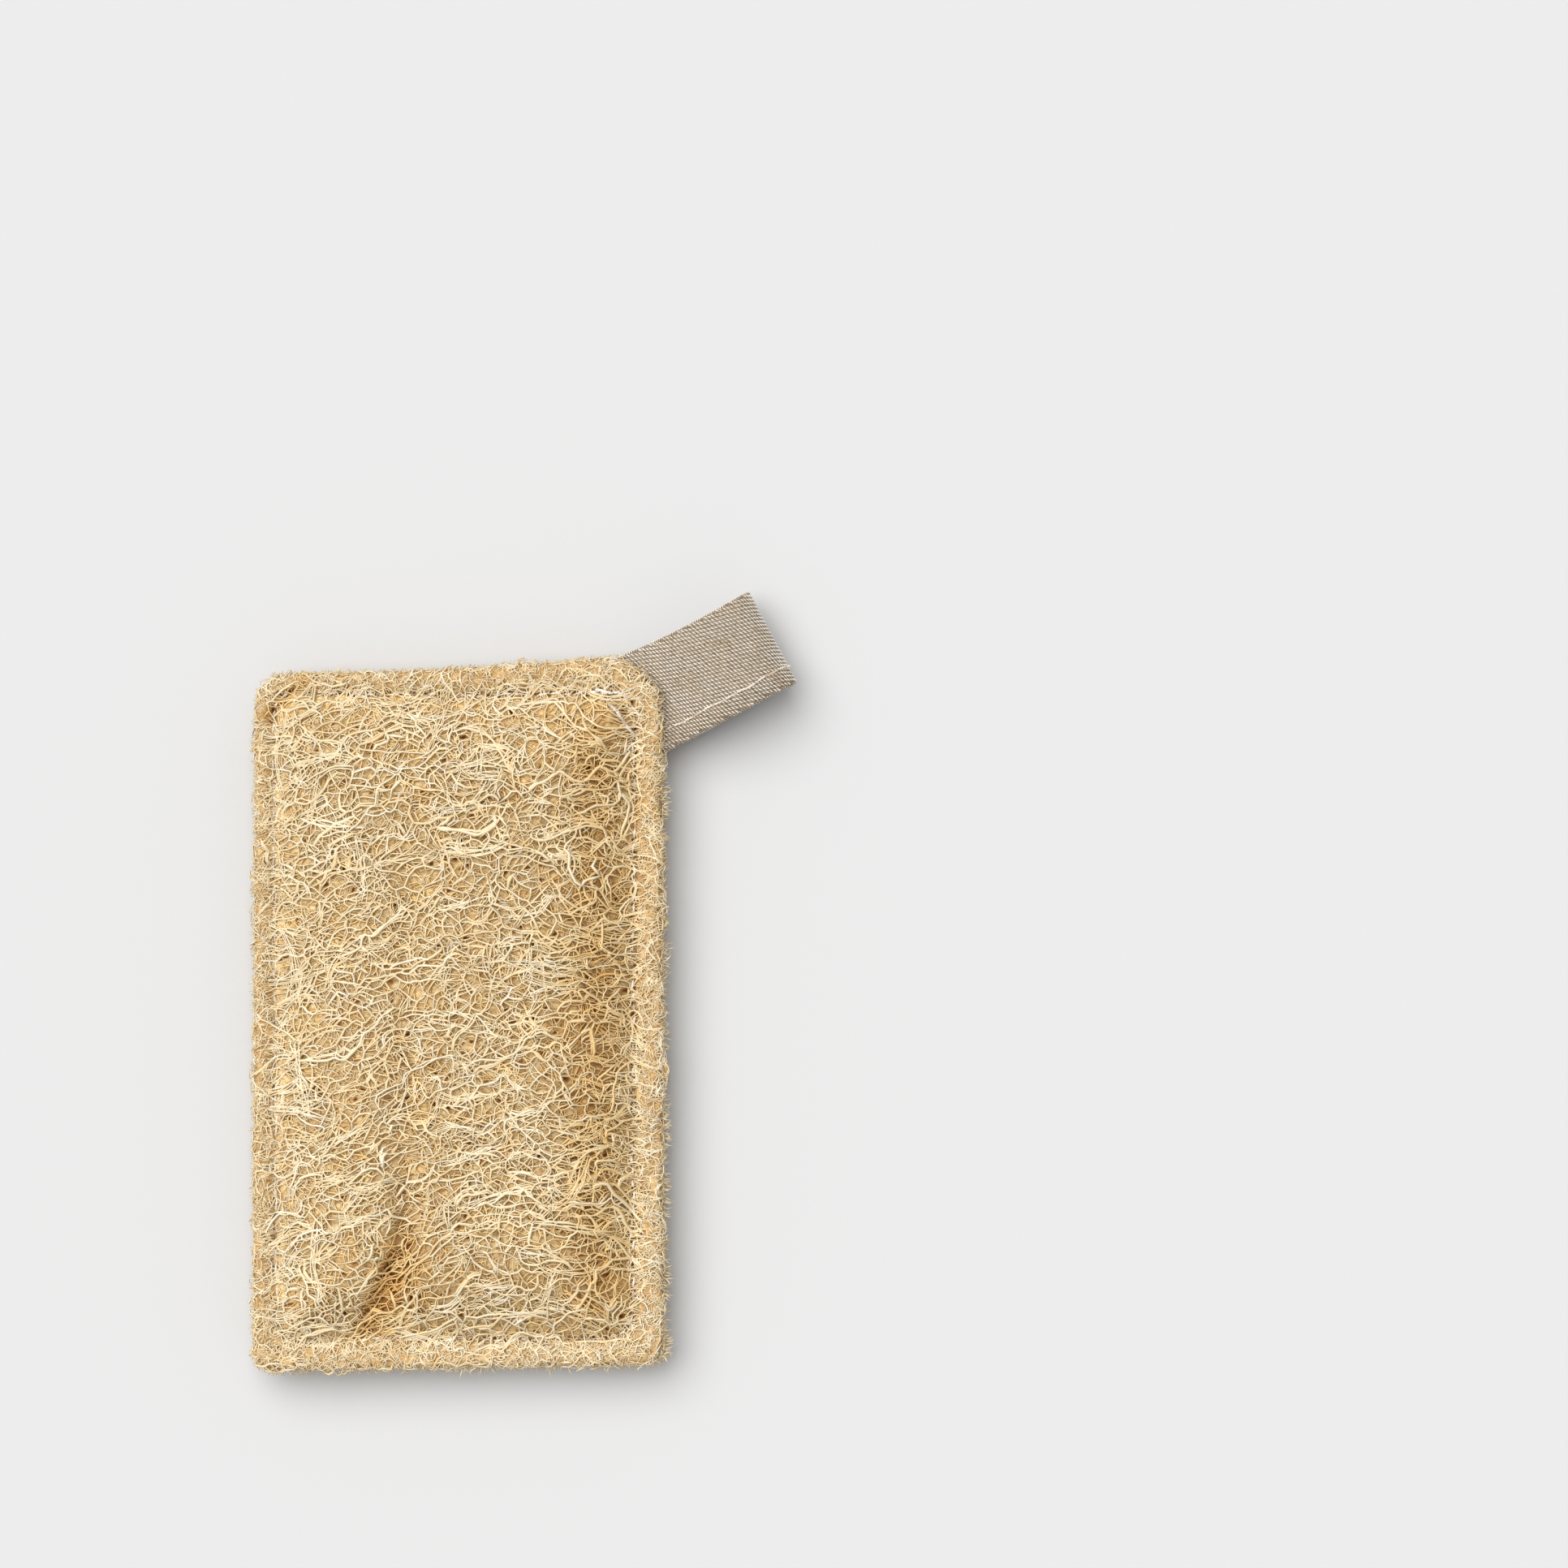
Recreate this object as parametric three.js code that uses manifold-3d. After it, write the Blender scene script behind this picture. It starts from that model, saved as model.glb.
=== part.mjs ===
// Natural loofah scrub pad: two flattened loofah layers sewn together round the edge, with a
// folded strap of twill caught in one corner as a hanging loop.
// Millimetres, +Z up. The pad lies flat. The origin is on the face it rests on, under the
// middle of the pad, and +Y runs along the pad towards the end that carries the loop.

import * as THREE from 'three';
import { mergeVertices } from 'three/addons/utils/BufferGeometryUtils.js';
import Module from 'manifold-3d';

const wasm = await Module();
wasm.setup();

// Pad outline: four corners, each rounded off. Places on the pad are measured across (p) from
// its left side and along (q) from its low end, before the slant of its sides is applied.
const PAD_WIDTH = 80;
const PAD_LENGTH = 138;
const PAD_CORNERS = {
  lowLeft: new THREE.Vector2(-40.2, -70),
  lowRight: new THREE.Vector2(40.3, -68.8),
  highLeft: new THREE.Vector2(-39.7, 65.9),
  highRight: new THREE.Vector2(39.9, 70.2),
};
const CORNER_RADIUS = { lowLeft: 4, lowRight: 4, highLeft: 6.5, highRight: 12.5 };
// How far the high side bows in halfway across
const HIGH_BOW = 1.15;

// The sewn seam: how far it lies inside each side, at that side's low and high end
const SEAM_INSET = { left: [5, 3.8], right: [6.5, 5.8], low: [6.3, 5.6], high: [3.9, 7.2] };
const SEAM_CORNER_RADIUS = 5;

// Heights above and below the plane where the two layers meet
const MEETING_HEIGHT = 8;
const LAYER_GAP = 0.3;
const FRONT_CREST = 11.6;
const BACK_CREST = 9.5;
const GROOVE_HEIGHT = 1.5;
const EDGE_HEIGHT = 1.9;
const RIM_SWELL = 1.6;
const PILLOW_REACH = 22;
const PILLOW_POWER = 2.2;

// The long crease in the front layer, from its shallow end to its deep end
const CREASE = [
  { y: 45, x: -9.6, depth: 0.6, width: 3.2 },
  { y: 5, x: -9.8, depth: 1.4, width: 3.2 },
  { y: -30, x: -9.6, depth: 2, width: 3.6 },
  { y: -44, x: -10.6, depth: 3.6, width: 4.2 },
  { y: -52, x: -13.6, depth: 4.8, width: 4.6 },
  { y: -60, x: -17.4, depth: 4.4, width: 5 },
  { y: -66, x: -20.4, depth: 2.6, width: 5.5 },
];
// The crease's left flank is the steeper one towards the deep end: its width there as a share of the
// other flank's, and the places along Y where the change begins and ends
const CREASE_LEFT_SHARE = 0.5;
const CREASE_LEFT_CHANGE = [-20, -45];
// The ridge left of the crease is a little lower: how much, and the places along X where that
// begins and ends
const LEFT_RIDGE_DROP = 0.8;
const LEFT_RIDGE_CHANGE = [8, -22];
// Low lumps over the front face, as waves across and along the pad
const LUMP_HEIGHT = 0.35;
const LUMP_LENGTHS = { across: [7, 13], along: [19, 11, 23] };
// The rim is fullest a little outside the middle between the edge and the seam
const RIM_SKEW = 0.8;

// Strap: a flat ribbon folded end to end, its ends sewn in between the layers
const STRAP_WIDTH = 20;
const STRAP_THICKNESS = 0.8;
const STRAP_ANGLE = THREE.MathUtils.degToRad(28);
const STRAP_ROOT = new THREE.Vector2(37.2, 60);
const STRAP_INSIDE = 9;
const STRAP_REACH = 26.6;
const STRAP_LEG_SPACING = 1.2;
const STRAP_STEPS = 58;
// The upper leg, as distance out from the root and height above the meeting plane
const STRAP_LEG = [
  [-STRAP_INSIDE, STRAP_LEG_SPACING / 2],
  [-4, STRAP_LEG_SPACING / 2],
  [3, STRAP_LEG_SPACING / 2],
  [5.6, 1.5],
  [9.2, 3.5],
  [15, 4.6],
  [20.5, 4.6],
  [24.6, 3.4],
];
const SWELL_CENTRE = new THREE.Vector2(33, 58);
const SWELL_REACH = 9;
const SWELL_HEIGHT = 1;

// Threads
const THREAD_RADIUS = 0.3;
const THREAD_SIDES = 6;
const THREAD_LIFT = 0.95;
const FINE_THREAD_RADIUS = 0.2;
const CLEARANCE = 0.3;
const SEAM_POINT_SPACING = 4;
const SEAM_STEPS = 150;
const TACK_ENDS = [new THREE.Vector2(28.6, 60.2), new THREE.Vector2(32.6, 54.6)];
const TACK_STEPS = 5;
const EDGE_STITCH_OFFSET = 6.4;
// Strap steps at each end that the stitches leave out: inside the loop they start where its legs part
const OUTER_STITCH_START = 8;
const INNER_STITCH_START = 11;

// Stations across and along the pad: shares of the rim, then shares of the sewn body
const RIM_SHARES = [0, 0.22, 0.5, 0.78, 1];
const BODY_STEPS_ACROSS = 18;
const BODY_STEPS_ALONG = 28;
const BODY_EDGE_CROWDING = 1.35;

const LOOFAH = new THREE.MeshStandardMaterial({ color: 0xd9bd86, roughness: 0.9, metalness: 0 });
const TWILL = new THREE.MeshStandardMaterial({ color: 0xa3937d, roughness: 0.95, metalness: 0 });
const THREAD = new THREE.MeshStandardMaterial({ color: 0xe6e0d2, roughness: 0.8, metalness: 0 });

// Shape of the pad

function smoothStep(t) {
  const clamped = THREE.MathUtils.clamp(t, 0, 1);
  return clamped * clamped * (3 - 2 * clamped);
}

function nearestCorner(p, q) {
  const isLeft = p < PAD_WIDTH / 2;
  const isLow = q < PAD_LENGTH / 2;
  return { isLeft, isLow, name: (isLow ? 'low' : 'high') + (isLeft ? 'Left' : 'Right') };
}

function cornerDistances(corner, p, q) {
  return [corner.isLeft ? p : PAD_WIDTH - p, corner.isLow ? q : PAD_LENGTH - q];
}

function placeFromCorner(corner, across, along) {
  return [corner.isLeft ? across : PAD_WIDTH - across, corner.isLow ? along : PAD_LENGTH - along];
}

// Draws the square corner of the outline in to a quarter circle
function roundCorner(p, q) {
  const corner = nearestCorner(p, q);
  const radius = CORNER_RADIUS[corner.name];
  const [across, along] = cornerDistances(corner, p, q);
  if (across >= radius || along >= radius) return [p, q];
  const i = 1 - across / radius;
  const j = 1 - along / radius;
  const roundedAcross = radius * (1 - i * Math.sqrt(1 - (j * j) / 2));
  const roundedAlong = radius * (1 - j * Math.sqrt(1 - (i * i) / 2));
  return placeFromCorner(corner, roundedAcross, roundedAlong);
}

// Distance in from a rounded corner whose two sides are `across` and `along` away
function roundedInset(across, along, radius) {
  const i = radius - across;
  const j = radius - along;
  return radius - Math.hypot(Math.max(i, 0), Math.max(j, 0)) - Math.min(Math.max(i, j), 0);
}

function seamInsets(corner, p, q) {
  const across = SEAM_INSET[corner.isLeft ? 'left' : 'right'];
  const along = SEAM_INSET[corner.isLow ? 'low' : 'high'];
  return [
    THREE.MathUtils.lerp(across[0], across[1], q / PAD_LENGTH),
    THREE.MathUtils.lerp(along[0], along[1], p / PAD_WIDTH),
  ];
}

function padPlace(p, q) {
  const { lowLeft, lowRight, highLeft, highRight } = PAD_CORNERS;
  const across = p / PAD_WIDTH;
  const low = lowLeft.clone().lerp(lowRight, across);
  const high = highLeft.clone().lerp(highRight, across);
  high.y -= 4 * HIGH_BOW * across * (1 - across);
  return low.lerp(high, q / PAD_LENGTH);
}

function creaseDrop(x, y) {
  let station = CREASE[0];
  for (let i = 1; i < CREASE.length && y < CREASE[i - 1].y; i += 1) {
    const above = CREASE[i - 1];
    const below = CREASE[i];
    const share = smoothStep((above.y - y) / (above.y - below.y));
    station = {
      x: THREE.MathUtils.lerp(above.x, below.x, share),
      depth: THREE.MathUtils.lerp(above.depth, below.depth, share),
      width: THREE.MathUtils.lerp(above.width, below.width, share),
    };
  }
  const [changeStart, changeEnd] = CREASE_LEFT_CHANGE;
  const change = smoothStep((changeStart - y) / (changeStart - changeEnd));
  const leftWidth = station.width * THREE.MathUtils.lerp(1, CREASE_LEFT_SHARE, change);
  const offset = (x - station.x) / (x < station.x ? leftWidth : station.width);
  return station.depth * Math.exp(-offset * offset);
}

function frontCrest(x, y) {
  const [changeStart, changeEnd] = LEFT_RIDGE_CHANGE;
  const leftShare = smoothStep((changeStart - x) / (changeStart - changeEnd));
  const { across, along } = LUMP_LENGTHS;
  const shortLumps = Math.sin(x / across[0] + y / along[0]) * Math.sin(y / along[1] - 1);
  const longLumps = Math.sin(y / along[2] + x / across[1]);
  const lumps = LUMP_HEIGHT * (shortLumps + longLumps);
  return FRONT_CREST - LEFT_RIDGE_DROP * leftShare - creaseDrop(x, y) + lumps;
}

// Height of a layer's outer face over the meeting plane, for a place inside the rounded outline
function layerHeight(p, q, crestHeight) {
  const corner = nearestCorner(p, q);
  const [across, along] = cornerDistances(corner, p, q);
  const [seamAcross, seamAlong] = seamInsets(corner, p, q);
  const fromEdge = roundedInset(across, along, CORNER_RADIUS[corner.name]);
  const fromSeam = roundedInset(across - seamAcross, along - seamAlong, SEAM_CORNER_RADIUS);
  const place = padPlace(p, q);
  const swellDistance = place.distanceTo(SWELL_CENTRE) / SWELL_REACH;
  const swell = SWELL_HEIGHT * Math.exp(-swellDistance * swellDistance);
  if (fromSeam < 0) {
    const rimShare = THREE.MathUtils.clamp(fromEdge / (fromEdge - fromSeam), 0, 1);
    const slope = THREE.MathUtils.lerp(EDGE_HEIGHT, GROOVE_HEIGHT, rimShare);
    return slope + RIM_SWELL * Math.sin(Math.PI * rimShare ** RIM_SKEW) + swell;
  }
  const reach = Math.min(fromSeam / PILLOW_REACH, 1);
  const pillow = 1 - (1 - reach) ** PILLOW_POWER;
  return THREE.MathUtils.lerp(GROOVE_HEIGHT + swell, crestHeight(place.x, place.y), pillow);
}

function frontHeight(p, q) {
  return layerHeight(p, q, frontCrest);
}

// The back layer is pressed flat where it rests
function backHeight(p, q) {
  return Math.min(layerHeight(p, q, () => BACK_CREST), MEETING_HEIGHT);
}

// Mesh of one layer

function stations(total, lowInset, highInset, bodySteps) {
  const places = RIM_SHARES.map((share) => share * lowInset);
  const bodyLength = total - lowInset - highInset;
  for (let i = 1; i < bodySteps; i += 1) {
    const centred = (2 * i) / bodySteps - 1;
    const crowded = Math.sign(centred) * (1 - (1 - Math.abs(centred)) ** BODY_EDGE_CROWDING);
    places.push(lowInset + (bodyLength * (1 + crowded)) / 2);
  }
  for (const share of [...RIM_SHARES].reverse()) {
    places.push(total - share * highInset);
  }
  return places;
}

function insetAt(side, share) {
  return THREE.MathUtils.lerp(SEAM_INSET[side][0], SEAM_INSET[side][1], share);
}

function layerGrid() {
  const evenAlong = stations(PAD_LENGTH, insetAt('low', 0.5), insetAt('high', 0.5), BODY_STEPS_ALONG);
  const evenAcross = stations(PAD_WIDTH, insetAt('left', 0.5), insetAt('right', 0.5), BODY_STEPS_ACROSS);
  return evenAcross.map((evenP, column) =>
    evenAlong.map((evenQ, row) => {
      const shareAlong = evenQ / PAD_LENGTH;
      const shareAcross = evenP / PAD_WIDTH;
      const across = stations(
        PAD_WIDTH, insetAt('left', shareAlong), insetAt('right', shareAlong), BODY_STEPS_ACROSS);
      const along = stations(
        PAD_LENGTH, insetAt('low', shareAcross), insetAt('high', shareAcross), BODY_STEPS_ALONG);
      return roundCorner(across[column], along[row]);
    }),
  );
}

function gridBorder(columns, rows) {
  const border = [];
  for (let column = 0; column < columns - 1; column += 1) border.push([column, 0]);
  for (let row = 0; row < rows - 1; row += 1) border.push([columns - 1, row]);
  for (let column = columns - 1; column > 0; column -= 1) border.push([column, rows - 1]);
  for (let row = rows - 1; row > 0; row -= 1) border.push([0, row]);
  return border;
}

// A layer: its crowned outer face, a wall down round its outline, and a flat inner face.
// side is 1 for the front layer and -1 for the back one.
function layerSolid(heightAt, side) {
  const grid = layerGrid();
  const columns = grid.length;
  const rows = grid[0].length;
  const positions = [];
  const triangles = [];
  const addTriangle = (a, b, c) => triangles.push(...(side > 0 ? [a, b, c] : [a, c, b]));

  for (const column of grid) {
    for (const [p, q] of column) {
      const place = padPlace(p, q);
      positions.push(place.x, place.y, MEETING_HEIGHT + side * heightAt(p, q));
    }
  }
  for (let column = 0; column < columns - 1; column += 1) {
    for (let row = 0; row < rows - 1; row += 1) {
      const near = column * rows + row;
      const far = near + rows;
      addTriangle(near, far, far + 1);
      addTriangle(near, far + 1, near + 1);
    }
  }

  const border = gridBorder(columns, rows);
  const outer = border.map(([column, row]) => column * rows + row);
  const firstInner = positions.length / 3;
  const contour = outer.map((index) => new THREE.Vector2(positions[3 * index], positions[3 * index + 1]));
  for (const point of contour) {
    positions.push(point.x, point.y, MEETING_HEIGHT + (side * LAYER_GAP) / 2);
  }
  for (let i = 0; i < outer.length; i += 1) {
    const next = (i + 1) % outer.length;
    addTriangle(outer[i], firstInner + i, firstInner + next);
    addTriangle(outer[i], firstInner + next, outer[next]);
  }
  for (const [a, b, c] of THREE.ShapeUtils.triangulateShape(contour, [])) {
    addTriangle(firstInner + a, firstInner + c, firstInner + b);
  }
  return manifoldFrom(new Float32Array(positions), new Uint32Array(triangles));
}

// Solids and geometries

function manifoldFrom(vertProperties, triVerts) {
  return new wasm.Manifold(new wasm.Mesh({ numProp: 3, vertProperties, triVerts }));
}

function solidOf(geometry) {
  const bare = geometry.clone();
  bare.deleteAttribute('normal');
  bare.deleteAttribute('uv');
  const merged = mergeVertices(bare);
  return manifoldFrom(new Float32Array(merged.attributes.position.array), new Uint32Array(merged.index.array));
}

function geometryOf(solid) {
  const mesh = solid.getMesh();
  const geometry = new THREE.BufferGeometry();
  geometry.setAttribute('position', new THREE.BufferAttribute(new Float32Array(mesh.vertProperties), 3));
  geometry.setIndex(new THREE.BufferAttribute(new Uint32Array(mesh.triVerts), 1));
  return geometry;
}

function threadGeometry(points, steps, radius) {
  const section = new THREE.Shape();
  section.setFromPoints(
    Array.from({ length: THREAD_SIDES }, (_, i) => {
      const angle = (2 * Math.PI * i) / THREAD_SIDES;
      return new THREE.Vector2(radius * Math.cos(angle), radius * Math.sin(angle));
    }),
  );
  const extrudePath = new THREE.CatmullRomCurve3(points);
  return new THREE.ExtrudeGeometry(section, { steps, extrudePath });
}

// Strap, drawn in its own frame: X out along the loop, Y up, Z across the ribbon

function strapCentreLine() {
  const upper = STRAP_LEG.map(([out, up]) => new THREE.Vector3(out, up, 0));
  const lower = STRAP_LEG.map(([out, up]) => new THREE.Vector3(out, -up, 0)).reverse();
  return new THREE.CatmullRomCurve3([...upper, new THREE.Vector3(STRAP_REACH, 0, 0), ...lower]);
}

// The centre line moved sideways, outwards from the inside of the loop
function strapOffsetPoints(offset, acrossRibbon) {
  const line = strapCentreLine();
  const points = [];
  for (let i = 0; i <= STRAP_STEPS; i += 1) {
    const tangent = line.getTangentAt(i / STRAP_STEPS);
    const outward = new THREE.Vector3(-tangent.y, tangent.x, 0);
    const point = line.getPointAt(i / STRAP_STEPS).addScaledVector(outward, offset);
    points.push(point.setZ(acrossRibbon));
  }
  return points;
}

function strapGeometry() {
  const outer = strapOffsetPoints(STRAP_THICKNESS / 2, 0);
  const inner = strapOffsetPoints(-STRAP_THICKNESS / 2, 0).reverse();
  const outline = new THREE.Shape([...outer, ...inner].map(({ x, y }) => new THREE.Vector2(x, y)));
  const geometry = new THREE.ExtrudeGeometry(outline, { depth: STRAP_WIDTH, steps: 1, bevelEnabled: false });
  return geometry.translate(0, 0, -STRAP_WIDTH / 2);
}

function strapPocket() {
  const depth = STRAP_LEG_SPACING + STRAP_THICKNESS + 2 * CLEARANCE;
  const insideLength = STRAP_INSIDE + CLEARANCE;
  const outsideLength = STRAP_REACH / 2;
  const pocket = new THREE.BoxGeometry(insideLength + outsideLength, depth, STRAP_WIDTH + 2 * CLEARANCE);
  return pocket.translate((outsideLength - insideLength) / 2, 0, 0);
}

function placeStrap(geometry) {
  geometry.rotateX(Math.PI / 2);
  geometry.rotateZ(STRAP_ANGLE);
  return geometry.translate(STRAP_ROOT.x, STRAP_ROOT.y, MEETING_HEIGHT);
}

// side is 1 on the outside of the loop and -1 inside it
function edgeStitchGeometry(side, firstStep) {
  const offset = side * (STRAP_THICKNESS / 2 + CLEARANCE + FINE_THREAD_RADIUS);
  const points = strapOffsetPoints(offset, EDGE_STITCH_OFFSET).slice(firstStep, -firstStep);
  return threadGeometry(points, points.length - 1, FINE_THREAD_RADIUS);
}

// Seam threads

const TURN_ORDER = [
  { isLeft: false, isLow: false, name: 'highRight' },
  { isLeft: true, isLow: false, name: 'highLeft' },
  { isLeft: true, isLow: true, name: 'lowLeft' },
  { isLeft: false, isLow: true, name: 'lowRight' },
];

// Places along the seam, anticlockwise from the loop's corner, back to just short of its start
function seamPlaces() {
  const places = [];
  const arcAngles = [0, 22.5, 45, 67.5, 90].map(THREE.MathUtils.degToRad);
  for (const [turn, corner] of TURN_ORDER.entries()) {
    const [p, q] = placeFromCorner(corner, 0, 0);
    const [seamAcross, seamAlong] = seamInsets(corner, p, q);
    const comesUpTheSide = turn % 2 === 0;
    for (const angle of arcAngles) {
      const [i, j] = comesUpTheSide ? [Math.cos(angle), Math.sin(angle)] : [Math.sin(angle), Math.cos(angle)];
      places.push(placeFromCorner(
        corner,
        seamAcross + SEAM_CORNER_RADIUS * (1 - i),
        seamAlong + SEAM_CORNER_RADIUS * (1 - j),
      ));
    }
  }
  const [startP, startQ] = places[0];
  places.push([startP, startQ - 2 * THREAD_RADIUS - CLEARANCE]);
  return places;
}

function betweenPlaces(places, longestStep) {
  const dense = [places[0]];
  for (let i = 1; i < places.length; i += 1) {
    const [fromP, fromQ] = places[i - 1];
    const [toP, toQ] = places[i];
    const pieces = Math.ceil(Math.hypot(toP - fromP, toQ - fromQ) / longestStep);
    for (let k = 1; k <= pieces; k += 1) {
      dense.push([
        THREE.MathUtils.lerp(fromP, toP, k / pieces),
        THREE.MathUtils.lerp(fromQ, toQ, k / pieces),
      ]);
    }
  }
  return dense;
}

function threadPoint([p, q], heightAt, side) {
  const place = padPlace(p, q);
  const height = heightAt(p, q) + THREAD_RADIUS + THREAD_LIFT;
  return new THREE.Vector3(place.x, place.y, MEETING_HEIGHT + side * height);
}

function seamThreadGeometry(heightAt, side) {
  const places = betweenPlaces(seamPlaces(), SEAM_POINT_SPACING);
  const points = places.map((place) => threadPoint(place, heightAt, side));
  return threadGeometry(points, SEAM_STEPS, THREAD_RADIUS);
}

// Turns a place in the row's X and Y back into a share of the pad, near the loop's corner,
// where the sides run close to straight
function padShare(place) {
  const { lowRight, highLeft, highRight } = PAD_CORNERS;
  const acrossDirection = highRight.clone().sub(highLeft);
  const alongDirection = highRight.clone().sub(lowRight);
  const offset = highRight.clone().sub(place);
  const area = acrossDirection.cross(alongDirection);
  return [
    PAD_WIDTH * (1 - offset.cross(alongDirection) / area),
    PAD_LENGTH * (1 - acrossDirection.cross(offset) / area),
  ];
}

function tackThreadGeometry(heightAt, side) {
  const [from, to] = TACK_ENDS;
  const points = [];
  for (let i = 0; i <= TACK_STEPS; i += 1) {
    points.push(threadPoint(padShare(from.clone().lerp(to, i / TACK_STEPS)), heightAt, side));
  }
  return threadGeometry(points, TACK_STEPS, THREAD_RADIUS);
}

// Assembly

function part(name, geometry, material) {
  const mesh = new THREE.Mesh(geometry, material);
  mesh.name = name;
  return mesh;
}

const pocket = solidOf(placeStrap(strapPocket()));
const frontPanel = layerSolid(frontHeight, 1).subtract(pocket);
const backPanel = layerSolid(backHeight, -1).subtract(pocket);

const loofahPad = new THREE.Group();
loofahPad.add(
  part('front_panel', geometryOf(frontPanel), LOOFAH),
  part('back_panel', geometryOf(backPanel), LOOFAH),
  part('hanging_loop', placeStrap(strapGeometry()), TWILL),
  part('front_seam_thread', seamThreadGeometry(frontHeight, 1), THREAD),
  part('back_seam_thread', seamThreadGeometry(backHeight, -1), THREAD),
  part('front_tack_thread', tackThreadGeometry(frontHeight, 1), THREAD),
  part('back_tack_thread', tackThreadGeometry(backHeight, -1), THREAD),
  part('loop_outer_stitch', placeStrap(edgeStitchGeometry(1, OUTER_STITCH_START)), THREAD),
  part('loop_inner_stitch', placeStrap(edgeStitchGeometry(-1, INNER_STITCH_START)), THREAD),
);

export default loofahPad;
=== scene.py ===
# Looks of the natural loofah scrub pad: two layers of netted fibre sewn together round the edge, with
# a folded twill strap in one corner. Shapes are worked out in millimetres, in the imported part's frame.

import math

import bpy
import numpy as np
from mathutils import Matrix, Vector
from mathutils.geometry import delaunay_2d_cdt


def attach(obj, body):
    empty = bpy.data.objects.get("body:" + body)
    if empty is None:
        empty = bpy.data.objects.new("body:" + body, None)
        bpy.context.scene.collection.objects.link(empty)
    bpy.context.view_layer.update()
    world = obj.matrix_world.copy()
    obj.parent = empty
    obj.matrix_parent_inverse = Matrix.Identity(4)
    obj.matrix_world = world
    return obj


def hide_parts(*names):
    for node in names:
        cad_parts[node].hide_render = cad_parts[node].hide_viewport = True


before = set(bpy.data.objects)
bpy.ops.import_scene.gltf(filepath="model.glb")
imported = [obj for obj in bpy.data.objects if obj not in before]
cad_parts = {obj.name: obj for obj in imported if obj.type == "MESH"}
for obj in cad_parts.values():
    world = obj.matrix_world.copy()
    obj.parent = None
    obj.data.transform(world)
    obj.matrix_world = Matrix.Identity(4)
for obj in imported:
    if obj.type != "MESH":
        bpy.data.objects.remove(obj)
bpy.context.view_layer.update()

MM = 0.001

# Pad outline, measured across (p) from its left side and along (q) from its low end
PAD_WIDTH = 80.0
PAD_LENGTH = 138.0
LOW_LEFT = (-40.2, -70.0)
LOW_RIGHT = (40.3, -68.8)
HIGH_LEFT = (-39.7, 65.9)
HIGH_RIGHT = (39.9, 70.2)
LOW_RADIUS = 4.0
HIGH_LEFT_RADIUS = 6.5
HIGH_RIGHT_RADIUS = 12.5
# How far the high side bows in halfway across
HIGH_BOW = 1.15

# Sewn seam: how far it lies inside each side, at that side's low and high end
SEAM_LEFT = (5.0, 3.8)
SEAM_RIGHT = (6.5, 5.8)
SEAM_LOW = (6.3, 5.6)
SEAM_HIGH = (3.9, 7.2)
SEAM_RADIUS = 5.0
STITCH_PITCH = 2.4

# Heights above and below the plane where the two layers meet
MEETING_HEIGHT = 8.0
LAYER_GAP = 0.3
FRONT_CREST = 11.6
BACK_CREST = 9.5
GROOVE_HEIGHT = 1.5
EDGE_HEIGHT = 1.9
RIM_SWELL = 1.6
RIM_SKEW = 0.8
PILLOW_REACH = 22.0
PILLOW_POWER = 2.2
LEFT_RIDGE_DROP = 0.8
LEFT_RIDGE_CHANGE = (8.0, -22.0)
LUMP_HEIGHT = 0.35
LUMP_ACROSS = (7.0, 13.0)
LUMP_ALONG = (19.0, 11.0, 23.0)
SWELL_CENTRE = (33.0, 58.0)
SWELL_REACH = 9.0
SWELL_HEIGHT = 1.0

# The long crease in the front layer, as stations of y, x, depth and width
CREASE = [
    (45.0, -9.6, 0.6, 3.2),
    (5.0, -9.8, 1.4, 3.2),
    (-30.0, -9.6, 2.0, 3.6),
    (-44.0, -10.6, 3.6, 4.2),
    (-52.0, -13.6, 4.8, 4.6),
    (-60.0, -17.4, 4.4, 5.0),
    (-66.0, -20.4, 2.6, 5.5),
]
# The crease's left flank is the steeper one towards the deep end: its width there as a share of the
# other flank's, and the places along Y where the change begins and ends
CREASE_LEFT_SHARE = 0.5
CREASE_LEFT_CHANGE = (-20.0, -45.0)

# Strap: a flat ribbon folded end to end
STRAP_WIDTH = 20.0
STRAP_HALF_THICKNESS = 0.26
STRAP_ANGLE = math.radians(28)
STRAP_ROOT = (37.2, 60.0)
STRAP_REACH = 26.6
STRAP_ROOT_FLARE = 0.05
STRAP_WAIST = 0.055
# The upper leg, as distance out from the root and height above the meeting plane
STRAP_LEG = [(-9, 0.6), (-4, 0.6), (3, 0.6), (5.6, 1.5), (9.2, 3.5), (15, 4.6), (20.5, 4.6), (24.6, 3.4)]

# Camera: straight down, with the photograph's frame of view
VIEW_CENTRE = (63.15, 44.1)
VIEW_WIDTH = 304.25
VIEW_HEIGHT = 1200.0
SENSOR_WIDTH = 36.0

FRONT = 1
BACK = -1
PANELS = {FRONT: "front_panel", BACK: "back_panel"}

# Columns of the points of a strand
P, Q, LIFT, RADIUS, TONE = range(5)


# Small helpers

NOISE_WAVES = 9
TINY = 1e-6


def lerp(start, end, share):
    return start + (end - start) * share


def smooth_step(t):
    t = np.clip(t, 0, 1)
    return t * t * (3 - 2 * t)


def change(value, start, end):
    """A smooth change from 0 where the value is at the start to 1 where it is at the end"""
    return smooth_step((value - start) / (end - start))


def bell(distance):
    """1 in the middle, falling smoothly towards 0 round it"""
    return np.exp(-(distance**2))


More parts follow.
